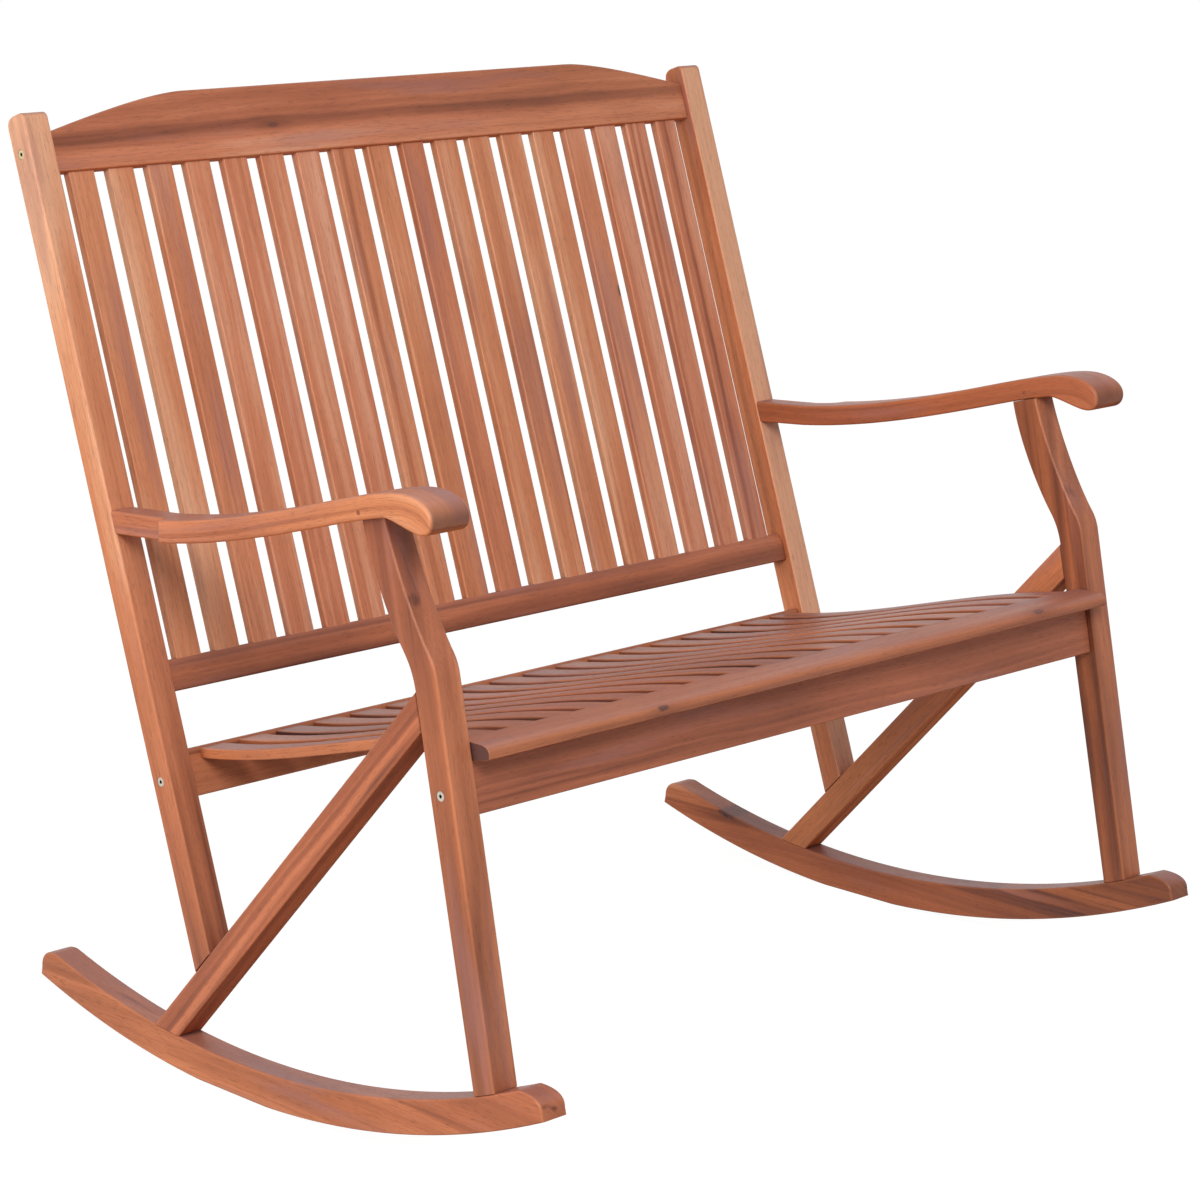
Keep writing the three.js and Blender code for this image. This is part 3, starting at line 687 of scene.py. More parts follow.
def rounded_board(outline, low, high, radius, place, steps=ROUND_STEPS):
    """A closed board from an outline of (point, ease of the edge after it), rounded along both
    faces. low and high give the faces' place on the third axis for a point of the outline."""
    points = [p for p, _ in outline]
    eases = [e for _, e in outline]
    area = sum(a.x * b.y - b.x * a.y for a, b in zip(points, points[1:] + points[:1]))
    if area < 0:
        points.reverse()
        eases = eases[:-1][::-1] + eases[-1:]
    insets, radii = edge_insets(points, eases, radius)
    count = len(points)
    angles = [math.pi / 2 * k / steps for k in range(steps + 1)]
    rings = []
    for side, face in ((1, low), (-1, high)):
        for angle in angles[::-side]:
            ring = []
            for p, inset, r in zip(points, insets, radii):
                q = p + inset * (1 - math.cos(angle))
                ring.append(place(q.x, q.y, face(p) + side * r * (1 - math.sin(angle))))
            rings.append((ring, math.sin(2 * angle)))
    vertices = [v for ring, _ in rings for v in ring]
    # The arris attribute feeds the edges' wear and painted highlight
    arris = [worn_and_lit_edge for _, worn_and_lit_edge in rings for _ in range(count)]
    faces = []
    for k in range(len(rings) - 1):
        for i in range(count):
            j = (i + 1) % count
            faces.append((k * count + i, k * count + j, (k + 1) * count + j, (k + 1) * count + i))
    last = (len(rings) - 1) * count
    faces.append(tuple(range(count))[::-1])
    faces.append(tuple(range(last, last + count)))
    mesh = bpy.data.meshes.new("board")
    mesh.from_pydata(vertices, [], faces)
    fill_attribute(mesh, "arris", "FLOAT", arris)
    shape = bmesh.new()
    shape.from_mesh(mesh)
    bmesh.ops.remove_doubles(shape, verts=shape.verts, dist=WELD)
    bmesh.ops.recalc_face_normals(shape, faces=shape.faces)
    shape.to_mesh(mesh)
    shape.free()
    return mesh


def smoothed(mesh, cutters=()):
    """The board with its bores, smooth over its rounding and crisp at its corners."""
    if cutters:
        settings = {"operation": "DIFFERENCE", "solver": "EXACT"}
        mesh = plain_mesh(mesh, [("BOOLEAN", {"object": c, **settings}) for c in cutters])
        for cutter in cutters:
            bpy.data.objects.remove(cutter)
    shape = bmesh.new()
    shape.from_mesh(mesh)
    bmesh.ops.triangulate(shape, faces=[f for f in shape.faces if len(f.verts) > 4])
    bmesh.ops.recalc_face_normals(shape, faces=shape.faces)
    shape.to_mesh(mesh)
    shape.free()
    return shaded(mesh)


def bore(x, centre, diameter, depth):
    """A cutter for a round hole in a face of a board of the side frames."""
    mesh = bpy.data.meshes.new("bore")
    shape = bmesh.new()
    turned = Matrix.Translation(spatial(centre, x)) @ Matrix.Rotation(math.pi / 2, 4, "Y")
    bmesh.ops.create_cone(
        shape, cap_ends=True, segments=BORE_SIDES, radius1=diameter / 2, radius2=diameter / 2,
        depth=2 * depth, matrix=turned)
    shape.to_mesh(mesh)
    shape.free()
    mesh.attributes.new("arris", "FLOAT", "POINT")
    return linked("bore", mesh)


def fill_attribute(mesh, name, kind, values, domain="POINT"):
    attribute = mesh.attributes.new(name, kind, domain)
    attribute.data.foreach_set("vector" if kind == "FLOAT_VECTOR" else "value", values)


# The grain of each board
PLANK_REACH = 20
END_FROM = 0.45
FAR_OFF = (-90.0, -90.0, 1.0)
NO_BAND = (0.0, 1.0, 0.0)


def figure(tone=0.0, end=0.25, stain=0.0, knots=(), bands=(), painted_shade_slope=(0, 0, 0), front=0.0):
    """A board's darkness, partly its own and partly painted light and shade, that of its end grain
    and of its knots, its knots as (place, size), its bands as (place, half width, darkness), and
    how much painted shade darkens it in a metre along each axis and on its front face."""
    return {"tone": tone, "end": end, "stain": stain, "knots": knots, "bands": bands,
            "painted_shade_slope": Vector(painted_shade_slope), "front": front}


def top_rail_place(height):
    return spatial(post_point(RAIL_RECESS, TOP_RAIL + height))


# The tones are partly each board's own colour and partly painted light and shade; the gradients
# along an axis and the front values are painted light and shade where it falls unevenly
FIGURES = {
    "rear_post_left": figure(0.26, painted_shade_slope=(0, 0, -0.75), front=0.13),
    "rear_post_right": figure(-0.24, painted_shade_slope=(0, 0, 0.18), front=-0.50),
    "front_leg_left": figure(0.18, painted_shade_slope=(0, 0, -0.06), front=-0.03),
    "front_leg_right": figure(0.22, front=-0.16),
    "brace_left": figure(0.09, bands=[
        (spatial(into_brace(0.019)), 0.0035, 0.20), (spatial(into_brace(0.028)), 0.005, -0.16)]),
    "brace_right": figure(-0.14),
    "rocker_left": figure(0.03, 0.0),
    "rocker_right": figure(0.11, 0.0, 1.0, painted_shade_slope=(0, -0.55, 0), knots=[
        (Vector((INNER_X, 0.3117, 0.0635)), 0.009), (Vector((INNER_X, 0.235, 0.066)), 0.008),
    ], bands=[
        (Vector((INNER_X, 0.35, 0.052)), 0.007, 0.22),
        (Vector((INNER_X, 0.33, 0.0605)), 0.0025, 0.24)]),
    "arm_left": figure(-0.12, 0.7, bands=[(Vector((-0.57, -0.2, 0.716)), 0.003, 0.16)]),
    "arm_right": figure(0.04, 0.6),
    "top_rail": figure(0.03, 0.1, 0.45, knots=[(Vector((-0.189, 0.408, 1.049)), 0.0045)], bands=[
        (top_rail_place(0.010), 0.018, -0.26), (top_rail_place(0.039), 0.008, 0.22)]),
    "lower_back_rail": figure(0.18),
    "rear_seat_rail": figure(0.04),
    "front_apron": figure(0.12),
    "seat_nosing": figure(-0.03, 1.0, 0.85, knots=[
        (Vector((-0.257, -0.327, 0.474)), 0.0042), (Vector((0.388, -0.325, 0.477)), 0.005),
    # The nosing's band is painted shade along the lower part of its front face
    ], bands=[(Vector((0, -0.3285, SEAT_HEIGHT - 0.014)), 0.011, 0.16)]),
}


def set_grain(mesh, name, run, across, bow=lambda p: 0.0):
    """Gives each vertex its place in the plank it was sawn from: along, across and through.

    bow() says how far the grain lies above a straight run at a point.
    """
    look = FIGURES[name]
    pick = random.Random(zlib.crc32(name.encode()))
    shift = Vector([pick.uniform(-PLANK_REACH, PLANK_REACH) for _ in range(3)])
    run, across = run.normalized(), across.normalized()
    through = run.cross(across)
    count = len(mesh.vertices)

    def plank(p):
        return Vector((run.dot(p), across.dot(p) - bow(p), through.dot(p))) + shift
    places = [c for v in mesh.vertices for c in plank(v.co)]
    fill_attribute(mesh, "grain", "FLOAT_VECTOR", places)
    tones, ends = [], []
    for loop, corner in zip(mesh.loops, mesh.corner_normals):
        normal = corner.vector
        # Painted light and shade: a gradient along each axis, and a change on the faces that look
        # ahead
        tone = look["tone"] + look["painted_shade_slope"].dot(mesh.vertices[loop.vertex_index].co)
        tones.append(tone - look["front"] * min(0.0, normal.y))
        ends.append(look["end"] * max(0.0, abs(normal.dot(run)) - END_FROM) / (1 - END_FROM))
    fill_attribute(mesh, "tone", "FLOAT", tones, "CORNER")
    fill_attribute(mesh, "end", "FLOAT", ends, "CORNER")
    fill_attribute(mesh, "stain", "FLOAT", [look["stain"]] * count)
    spots = [(*plank(centre)[:2], size) for centre, size in look["knots"]]
    lines = [(plank(point).y, half, darkness) for point, half, darkness in look["bands"]]
    for keys, features, none in ((KNOTS, spots, FAR_OFF), (BANDS, lines, NO_BAND)):
        for key, values in zip(keys, features + [none] * len(keys)):
            fill_attribute(mesh, key, "FLOAT_VECTOR", list(values) * count)


# Outlines of the side frames
def side_place(u, v, w):
    return spatial(Vector((u, v)), w)


def level(x):
    return lambda p: x


def eased(points, ease=1.0):
    return [(p, ease) for p in points]


def clipped(outline, inside, path=None, steps=5):
    """The part of an outline where inside() is positive, closed along the cut or along path(y)."""
    result = []
    crossings = []
    for i, (p, ease) in enumerate(outline):
        q = outline[(i + 1) % len(outline)][0]
        a, b = inside(p), inside(q)
        if a > 0:
            result.append((p, ease))
        if a * b < 0:
            low, high = 0.0, 1.0
            for _ in range(HALVINGS):
                middle = (low + high) / 2
                if inside(p.lerp(q, middle)) * a > 0:
                    low = middle
                else:
                    high = middle
            crossings.append(len(result))
            result.append((p.lerp(q, low), JOINT_EASE if a > 0 else ease))
    if path and len(crossings) == 2:
        leave = next(k for k in crossings if result[k][1] == JOINT_EASE)
        enter = crossings[0] if crossings[1] == leave else crossings[1]
        start, end = result[leave][0], result[enter][0]
        ys = [mix(start.x, end.x, k / steps) for k in range(1, steps)]
        result[leave + 1:leave + 1] = eased([Vector((y, path(y))) for y in ys], JOINT_EASE)
    return result


def above_rocker(outline):
    return clipped(
        outline, lambda p: p.y - rocker_top(p.x) - GAP, lambda y: rocker_top(y) + GAP)


def run_across(lean):
    """The ways along and across a leaning board."""
    run = Vector((0, *heading(lean)))
    return run, Vector((0, run.z, -run.y))


def both_sides(name, outline, run, across, bores=()):
    """The left and the right one of a board of the side frames."""
    radius = bpy.context.scene.bench_boards.arris
    for side, suffix in ((-1, "left"), (1, "right")):
        label = f"{name}_{suffix}"
        low, high = sorted((side * OUTER_X, side * INNER_X))
        mesh = rounded_board(outline, level(low), level(high), radius, side_place)
        cutters = [bore(side * OUTER_X, place, BORE_DIAMETER, BORE_DEPTH) for place in bores]
        mesh = smoothed(mesh, cutters)
        set_grain(mesh, label, run, across)
        piece(f"{label}_board", mesh, [label])


def rocker_end(reach, length, tip):
    side = math.copysign(1, reach)
    inner_y = reach - side * length
    inner = Vector((inner_y, rocker_top(inner_y)))
    end = Vector((reach - side * TIP_SET, rocker_under(reach) + tip))
    crown = Vector((end.x, mix(inner.y, rocker_top(end.x), CROWN_SHARE)))
    return inner, crown, end


def rocker_outline():
    def run(curve, a, b, steps):
        ys = [mix(a, b, i / steps) for i in range(steps + 1)]
        return [Vector((y, curve(y))) for y in ys]
    nose = rocker_end(-FRONT_REACH, NOSE, NOSE_TIP)
    heel = rocker_end(REAR_REACH, HEEL, HEEL_TIP)
    return eased([
        *run(rocker_under, -FRONT_REACH, BALANCE_Y - FLAT / 2, UNDER_STEPS[0]),
        *run(rocker_under, BALANCE_Y + FLAT / 2, REAR_REACH, UNDER_STEPS[1]),
        *bend(*heel[::-1], CURVE_STEPS)[:-1],
        *run(rocker_top, heel[0].x, nose[0].x, TREAD_STEPS),
        *bend(*nose, CURVE_STEPS)[1:],
    ])


def leg_edge(share, depth, blend):
    """The front (share 0) or rear edge (share 1) of a leg, upwards, with its knee blended."""
    height = KNEE_HEIGHT - share * KNEE_DROP
    knee = leg_line(height, share)
    after = along(knee, KNEE_LEAN, blend)
    top = Vector((LEG_TOP_Y + depth, height_at(ARM_UNDER, LEG_TOP_Y)))
    lean = mix(LEG_TOP_LEAN, LEG_REAR_LEAN, share)
    handles = along(after, KNEE_LEAN, LEG_SWEEP), along(top, lean, -LEG_SWEEP)
    return [
        leg_line(rocker_top(LEG_FLOOR_Y) - 2 * OVERRUN, share),
        *bend(leg_line(height - blend, share), knee, after, CURVE_STEPS)[:-1],
        *sweep(after, *handles, top, SWEEP_STEPS),
        along(top, lean, OVERRUN),
    ]


def leg_outline():
    rear = leg_edge(1, LEG_TOP_DEPTH + LEG_SWELL, KNEE_REAR)
    front = leg_edge(0, 0, KNEE_FRONT)

    def ceiling(y):
        return height_at(ARM_UNDER, y) - GAP
    return clipped(above_rocker(eased(rear + front[::-1])), lambda p: ceiling(p.x) - p.y, ceiling)


def brace_outline():
    upper, lower = into_brace(0), into_brace(BRACE_DEPTH)
    corners = [
        along(upper, BRACE_LEAN, -3 * OVERRUN), along(upper, BRACE_LEAN, BRACE_REACH),
        along(lower, BRACE_LEAN, BRACE_REACH), along(lower, BRACE_LEAN, -3 * OVERRUN)]
    return clipped(above_rocker(eased(corners)), lambda p: p.x - leg_line(p.y, 1).x - GAP)


def post_outline():
    front = [
        post_point(POST_FRONT_ROUND, POST_LENGTH), post_point(0, POST_LENGTH),
        post_point(0, POST_LENGTH - POST_FRONT_ROUND)]
    rear = [
        post_point(POST_DEPTH, POST_LENGTH - POST_REAR_ROUND), post_point(POST_DEPTH, POST_LENGTH),
        post_point(POST_DEPTH - POST_REAR_ROUND, POST_LENGTH)]
    points = [post_point(0, 0), post_point(POST_DEPTH, 0), *bend(*rear, 12), *bend(*front, 10)]
    normal = heading(BRACE_LEAN + math.pi / 2)
    return clipped(eased(points), lambda p: (p - BRACE_UPPER).dot(normal) - GAP)


# Arms
def arm_stations():
    """Top and under points from the post to the tip of the scroll, with the outer side's X."""
    scroll = TIP_REACH * SCROLL_SHARE
    tip_y = ARM_CROWN.x - TIP_REACH
    lip = Vector((mix(ARM_CROWN.x, tip_y, SCROLL_SHARE), ARM_CROWN.y - LIP_DROP))
    tip = Vector((tip_y, mix(ARM_CROWN.y, lip.y, SCROLL_SHARE)))
    lip_front = Vector((mix(lip.x, tip.x, SCROLL_SHARE), lip.y))
    tip_under = Vector((tip.x, mix(tip.y, lip.y, SCROLL_SHARE)))
    last_y = ARM_CROWN.x + scroll
    last = Vector((last_y, height_at(ARM_UNDER, last_y)))

    tongue_end = post_face_y(ARM_REAR) - TONGUE
    step_y = tongue_end - STEP
    side = -OUTER_X - ARM_OVERHANG
    turn = Vector((step_y, side + STEP_ROUND))
    turned = Vector((step_y - STEP_ROUND, side))
    cove = bend(Vector((tongue_end, -OUTER_X)), Vector((step_y, -OUTER_X)), turn, CURVE_STEPS)
    corner = bend(turn, Vector((step_y, side)), turned, 4)[1:]
    plan = [(p.x, p.y) for p in (Vector((ARM_BACK.x, -OUTER_X)), *cove, *corner)]
    for p in ARM_TOP:
        if last_y < p.x < plan[-1][0] - MIN_STEP:
            plan.append((p.x, side))
    stations = [(*(Vector((y, height_at(line, y))) for line in (ARM_TOP, ARM_UNDER)), x)
                for y, x in plan]

    upper = [Vector((last_y, height_at(ARM_TOP, last_y)))]
    upper += [p for p in ARM_TOP if ARM_CROWN.x < p.x < last_y]
    crown_front, tip_top = ARM_CROWN - Vector((scroll, 0)), tip + Vector((0, scroll / 2))
    upper += sweep(ARM_CROWN, crown_front, tip_top, tip, SCROLL_STEPS)
    half = Vector((scroll / 2, 0))
    lower = sweep(last, last - half, lip + half, lip, LIP_STEPS[0])
    lower += sweep(lip, lip_front, tip_under, tip, LIP_STEPS[1])[1:]
    lower = resampled(lower, len(upper))
    return stations + [(a, b, side) for a, b in zip(upper, lower)]


def resampled(points, count):
    """The same path with another number of points."""
    lengths = [0.0]
    for a, b in zip(points, points[1:]):
        lengths.append(lengths[-1] + (b - a).length)
    result = []
    k = 0
    for i in range(count):
        target = lengths[-1] * i / (count - 1)
        while k < len(points) - 2 and lengths[k + 1] < target:
            k += 1
        share = (target - lengths[k]) / (lengths[k + 1] - lengths[k])
        result.append(points[k].lerp(points[k + 1], min(share, 1.0)))
    return result


def make_arm(side, name, radius):
    stations = arm_stations()
    top, under, x = stations[0]
    stations[0] = (*(Vector((post_face_y(p.y) - GAP, p.y)) for p in (top, under)), x)
    way_back = stations[-2::-1]
    outline = eased([a for a, _, _ in stations] + [b for _, b, _ in way_back])
    outline[-1] = (outline[-1][0], JOINT_EASE)
    outer_x = {p.to_tuple(7): x for (p, _), (_, _, x) in zip(outline, stations + way_back)}

    def outer(p):
        return -side * outer_x[p.to_tuple(7)]
    inner = level(side * INNER_X)
    low, high = (outer, inner) if side < 0 else (inner, outer)
    mesh = rounded_board(outline, low, high, radius, side_place, ROUND_STEPS + 1)
    pin_y = LEG_TOP_Y + LEG_TOP_DEPTH / 2
    pin = Vector((pin_y, height_at(ARM_UNDER, pin_y) + PIN_RISE))
    faces = (side * (OUTER_X + ARM_OVERHANG), side * INNER_X)
    mesh = smoothed(mesh, [bore(x, pin, PIN_DIAMETER + 2 * GAP, PIN_RECESS) for x in faces])
    scroll_top = [a for a, _, _ in stations]

    def bow(p):
        """The grain follows the arm's back and dips with the scroll."""
        y = p.y - SHIFT_Y
        dip = height_at(scroll_top, y) - ARM_CROWN.y
        return max(dip, -SCROLL_DIP) if y < ARM_CROWN.x else dip
    set_grain(mesh, name, Vector((0, -1, 0)), Vector((0, 0, 1)), bow)
    piece(f"{name}_board", mesh, [name])


# Outlines of the rails
def rounded_corners(corners):
    radius = bpy.context.scene.bench_boards.rail_arris
    result = []
    for i, p in enumerate(corners):
        before, after = corners[i - 1], corners[(i + 1) % len(corners)]
        a = p + (before - p).normalized() * radius
        b = p + (after - p).normalized() * radius
        result.extend(bend(a, p, b, ROUND_STEPS))
    return result


def rail_corners(point, low, high):
    """The section of a rail between two heights, in the places that point() gives."""
    return [
        point(RAIL_RECESS, low), point(RAIL_BACK, low),
        point(RAIL_BACK, high), point(RAIL_RECESS, high)]


def top_rail_outline():
    crest = TOP_RAIL + TOP_RAIL_HEIGHT
    shoulder = bend(
        Vector((RAIL_END, TOP_RAIL + TOP_RAIL_END)), Vector((CREST_CONTROL, crest)),
        Vector((CREST, crest)), SWEEP_STEPS)
    outline = eased([
        Vector((RAIL_END, TOP_RAIL)), *shoulder, *(Vector((-p.x, p.y)) for p in shoulder[::-1]),
        Vector((-RAIL_END, TOP_RAIL))])
    for end in (0, -2):
        outline[end] = (outline[end][0], JOINT_EASE)
    return outline


def low_rail_outline():
    top = LOW_RAIL + LOW_RAIL_HEIGHT
    slat_face = RAIL_RECESS + (RAIL_THICKNESS - bpy.context.scene.bench_slats.thickness) / 2
    corners = rail_corners(post_point, LOW_RAIL, top)
    bevel = [post_point(slat_face, top), post_point(RAIL_RECESS, top - LOW_RAIL_BEVEL)]
    return rounded_corners(corners[:3] + bevel)


def seat_rail_outline():
    return rounded_corners(rail_corners(post_point, SEAT_RAIL, SEAT_RAIL + SEAT_RAIL_HEIGHT))


def apron_outline():
    high = SEAT_HEIGHT + NOSING_RISE - NOSING_THICKNESS - GAP
    return rounded_corners(rail_corners(leg_point, SEAT_HEIGHT - APRON_DROP, high))


def nosing_outline():
    rear = seat_line()[0].x - GAP
    front = rear - NOSING_DEPTH
    top = SEAT_HEIGHT + NOSING_RISE
    under = top - NOSING_THICKNESS
    nose = [(front + NOSING_ROUND_DEPTH, top), (front, top), (front, top - NOSING_ROUND_HEIGHT)]
    return [
        Vector((rear, under)),
        Vector((rear, top - NOSING_EASE)),
        Vector((rear - NOSING_EASE, top)),
        *bend(*map(Vector, nose), CURVE_STEPS),
        Vector((front, under + NOSING_TAPER_RISE + NOSING_EASE)),
        Vector((front + NOSING_EASE, under + NOSING_TAPER_RISE)),
        Vector((front + NOSING_TAPER, under)),
    ][::-1]


# Slats by Geometry Nodes
class SlatTree(Nodes):
    """The nodes that sweep a slat, repeat it across the bench and cut each from its own plank."""

    INPUTS = {
        "NodeSocketVector": (
            "Front", "Front Handle", "Rear Handle", "Rear", "Band Low", "Band High", "Knot Place"),
        "NodeSocketFloat": (
            "Width", "Thickness", "Arris", "Pitch", "Tone", "Tone Spread", "Side Tone",
            "First Side Tone", "Edge Wear And Highlight", "Stain"),
        "NodeSocketInt": ("Count", "Seed", "Knot Slat", "Curve Steps", "Round Steps"),
        "NodeSocketMaterial": ("Material",),
    }

    def __init__(self, name):
        super().__init__(bpy.data.node_groups.new(name, "GeometryNodeTree"))
        interface = self.tree.interface
        for kind, labels in self.INPUTS.items():
            for label in labels:
                interface.new_socket(label, in_out="INPUT", socket_type=kind)
        interface.new_socket("Geometry", in_out="OUTPUT", socket_type="NodeSocketGeometry")
        first = self.node("NodeGroupInput")
        self.given = {s.name: Flow(self, s) for s in first.socket.node.outputs}
        self.node("NodeGroupOutput", {}, {0: self.row(self.slat())})

    def store(self, geometry, name, kind, value, domain="POINT"):
        settings = {"data_type": kind, "domain": domain}
        return self.node("GeometryNodeStoreNamedAttribute", settings, {
            "Geometry": geometry, "Name": name, "Value": value})

    def stored(self, name, kind="FLOAT"):
        return self.node("GeometryNodeInputNamedAttribute", {"data_type": kind}, {"Name": name})

    def vector(self, *values):
        return self.node("ShaderNodeCombineXYZ", {}, dict(enumerate(values)))

    def draw(self, kind, low, high, output, offset):
        """A number or vector drawn for each slat."""
        places = {"FLOAT": (2, 3), "FLOAT_VECTOR": (0, 1)}[kind]
        return self.node("FunctionNodeRandomValue", {"data_type": kind}, {
            places[0]: low, places[1]: high, "ID": self.node("GeometryNodeInputIndex"),
            "Seed": self.given["Seed"] + offset}, output)

    def choose(self, kind, number, then, otherwise):
        """One value for the slat of a number and another for the rest."""
        chosen = self.node("FunctionNodeCompare", {"data_type": "INT", "operation": "EQUAL"}, {
            2: self.node("GeometryNodeInputIndex"), 3: number})
        return self.node("GeometryNodeSwitch", {"input_type": kind}, {
            "Switch": chosen, "False": otherwise, "True": then})

    def slat(self):
        """One slat along its curve, with its place in the plank, its arrises lightened by wear and
        a painted highlight, and its sides for the painted side shading.
        """
        given = self.given
        rail = self.node("GeometryNodeCurvePrimitiveBezierSegment", {}, {
            "Start": given["Front"], "Start Handle": given["Front Handle"],
            "End Handle": given["Rear Handle"], "End": given["Rear"],
            "Resolution": given["Curve Steps"]})
        rail = self.node("GeometryNodeSetCurveNormal", {"mode": "Z_UP"}, {"Curve": rail})
        reach = self.node("GeometryNodeSplineParameter", output="Length")
        rail = self.store(rail, "reach", "FLOAT", reach)
        section = self.node("GeometryNodeCurvePrimitiveQuadrilateral", {}, {
            "Width": given["Width"], "Height": given["Thickness"]})
        section = self.node("GeometryNodeFilletCurve", {"mode": "POLY"}, {
            "Curve": section, "Count": given["Round Steps"], "Radius": given["Arris"]})
        spot = self.node("GeometryNodeInputPosition")
        section = self.store(section, "spot", "FLOAT_VECTOR", spot)
        slat = self.node("GeometryNodeCurveToMesh", {}, {
            "Curve": rail, "Profile Curve": section, "Fill Caps": True})
        beside, above, _ = self.split(self.stored("spot", "FLOAT_VECTOR"))
        worn_and_lit_edge = [
            ((offset.size - size * 0.5) / given["Arris"] + 1.0).at_least(0.0)
            for offset, size in ((beside, given["Width"]), (above, given["Thickness"]))]
        # The arrises' lightening is wear and a painted highlight
        slat = self.store(slat, "arris", "FLOAT", worn_and_lit_edge[0] * worn_and_lit_edge[1] * given["Edge Wear And Highlight"])
        slat = self.store(slat, "side", "FLOAT", worn_and_lit_edge[0])
        place = self.vector(self.stored("reach"), beside, above)
        return self.store(slat, "grain", "FLOAT_VECTOR", place)

    def row(self, slat):
        """The slats side by side, each with its own tone, band and knot, and painted light and
        shade on their sides.
        """
        given = self.given
        start = (given["Count"] - 1) * given["Pitch"] * -0.5
        line = self.node("GeometryNodeMeshLine", {}, {
            "Count": given["Count"], "Start Location": self.vector(start),
            "Offset": self.vector(given["Pitch"])})
        slats = self.node("GeometryNodeInstanceOnPoints", {}, {"Points": line, "Instance": slat})

        spread = given["Tone Spread"]
        reach = (PLANK_REACH,) * 3
        plank = self.draw("FLOAT_VECTOR", [-r for r in reach], reach, 0, 1)
        plank_along, plank_across, _ = self.split(plank)
        band = self.draw("FLOAT_VECTOR", given["Band Low"], given["Band High"], 0, 2)
        centre, half, darkness = self.split(band)
        knot_along, knot_across, knot_size = self.split(given["Knot Place"])
        knot = self.vector(plank_along + knot_along, plank_across + knot_across, knot_size)
        for name, kind, value in (
            ("tone", "FLOAT", self.draw("FLOAT", -spread, spread, 1, 0) + given["Tone"]),
            ("plank", "FLOAT_VECTOR", plank),
            (BANDS[0], "FLOAT_VECTOR", self.vector(plank_across + centre, half, darkness)),
            (KNOTS[0], "FLOAT_VECTOR", self.choose("VECTOR", given["Knot Slat"], knot, FAR_OFF)),
            (KNOTS[1], "FLOAT_VECTOR", FAR_OFF),
            ("stain", "FLOAT", given["Stain"]),
            # Painted light and shade on the slats' sides: one value for the first slat and another
            # for the rest
            ("cut", "FLOAT", self.choose("FLOAT", 0, given["First Side Tone"], given["Side Tone"])),
        ):
            slats = self.store(slats, name, kind, value, "INSTANCE")

        slats = self.node("GeometryNodeRealizeInstances", {}, {"Geometry": slats})
        # Painted light and shade: each slat's sides take their row's side value
        tone = self.stored("tone") + self.stored("cut") * self.stored("side")
        slats = self.store(slats, "tone", "FLOAT", tone)
        place = self.node("ShaderNodeVectorMath", {"operation": "ADD"}, {
            0: self.stored("grain", "FLOAT_VECTOR"), 1: self.stored("plank", "FLOAT_VECTOR")})
        slats = self.store(slats, "grain", "FLOAT_VECTOR", place)
        return self.node("GeometryNodeSetMaterial", {}, {
            "Geometry": slats, "Material": given["Material"]})


def slat_row(name, prefix, curve, look):
    """A row of slats as one plain mesh."""
    sizes = bpy.context.scene.bench_slats
    holder = linked(name + "_rule", bpy.data.meshes.new(name))
    rule = SlatTree(name + "_rule")
    modifier = holder.modifiers.new("slats", "NODES")
    modifier.node_group = rule.tree
    gap = (2 * INNER_X - sizes.count * sizes.width) / (sizes.count + 1)
    values = {
        **dict(zip(("Front", "Front Handle", "Rear Handle", "Rear"), curve)),
        "Width": sizes.width, "Thickness": sizes.thickness, "Arris": sizes.arris,
        "Count": sizes.count, "Pitch": sizes.width + gap, "Seed": sizes.seed,
        # The slats' edges are lightened strongly, as wear and a painted highlight
        "Curve Steps": 40, "Round Steps": ROUND_STEPS, "Edge Wear And Highlight": 4.0, "Stain": 0.9,
        "Band Low": (-0.016, 0.003, -0.20), "Band High": (0.016, 0.009, 0.34),
        "Material": finish("acacia"), **look,
    }
    for item in rule.tree.interface.items_tree:
        if item.in_out == "INPUT":
            modifier[item.identifier] = values[item.name]
    evaluated = holder.evaluated_get(bpy.context.evaluated_depsgraph_get())
    result = bpy.data.meshes.new_from_object(evaluated)
    holder.modifiers.remove(modifier)
    bpy.data.objects.remove(holder)
    result = shaded(result)
    for extra in ("spot", "reach", "plank", "side", "cut"):
        if extra in result.attributes:
            result.attributes.remove(result.attributes[extra])
    piece(name, result, [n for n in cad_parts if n.startswith(prefix)])


# Operators
class BENCH_OT_rockers(bpy.types.Operator):
    """Curved rockers with rounded noses"""
    bl_idname = "bench.rockers"
    bl_label = "Rockers"

    def execute(self, context):
        both_sides("rocker", rocker_outline(), Vector((0, 1, 0)), Vector((0, 0, 1)))
        return {"FINISHED"}


class BENCH_OT_legs(bpy.types.Operator):
    """Front legs bent at the knee"""
    bl_idname = "bench.legs"
    bl_label = "Front legs"

    def execute(self, context):
        bolt = leg_point(RAIL_MIDDLE, SEAT_HEIGHT - APRON_BOLT)
        both_sides("front_leg", leg_outline(), *run_across(LEG_LEAN), [bolt])
        return {"FINISHED"}


class BENCH_OT_posts(bpy.types.Operator):
    """Rear posts with rounded heads"""
    bl_idname = "bench.posts"
    bl_label = "Rear posts"

    def execute(self, context):
        heights = (TOP_RAIL + TOP_BOLT, SEAT_RAIL + SEAT_BOLT)
        bolts = [post_point(RAIL_MIDDLE, height) for height in heights]
        both_sides("rear_post", post_outline(), *run_across(POST_LEAN), bolts)
        return {"FINISHED"}


class BENCH_OT_braces(bpy.types.Operator):
    """Diagonal braces between rocker and front leg"""
    bl_idname = "bench.braces"
    bl_label = "Braces"

    def execute(self, context):
        both_sides("brace", brace_outline(), *run_across(BRACE_LEAN))
        return {"FINISHED"}


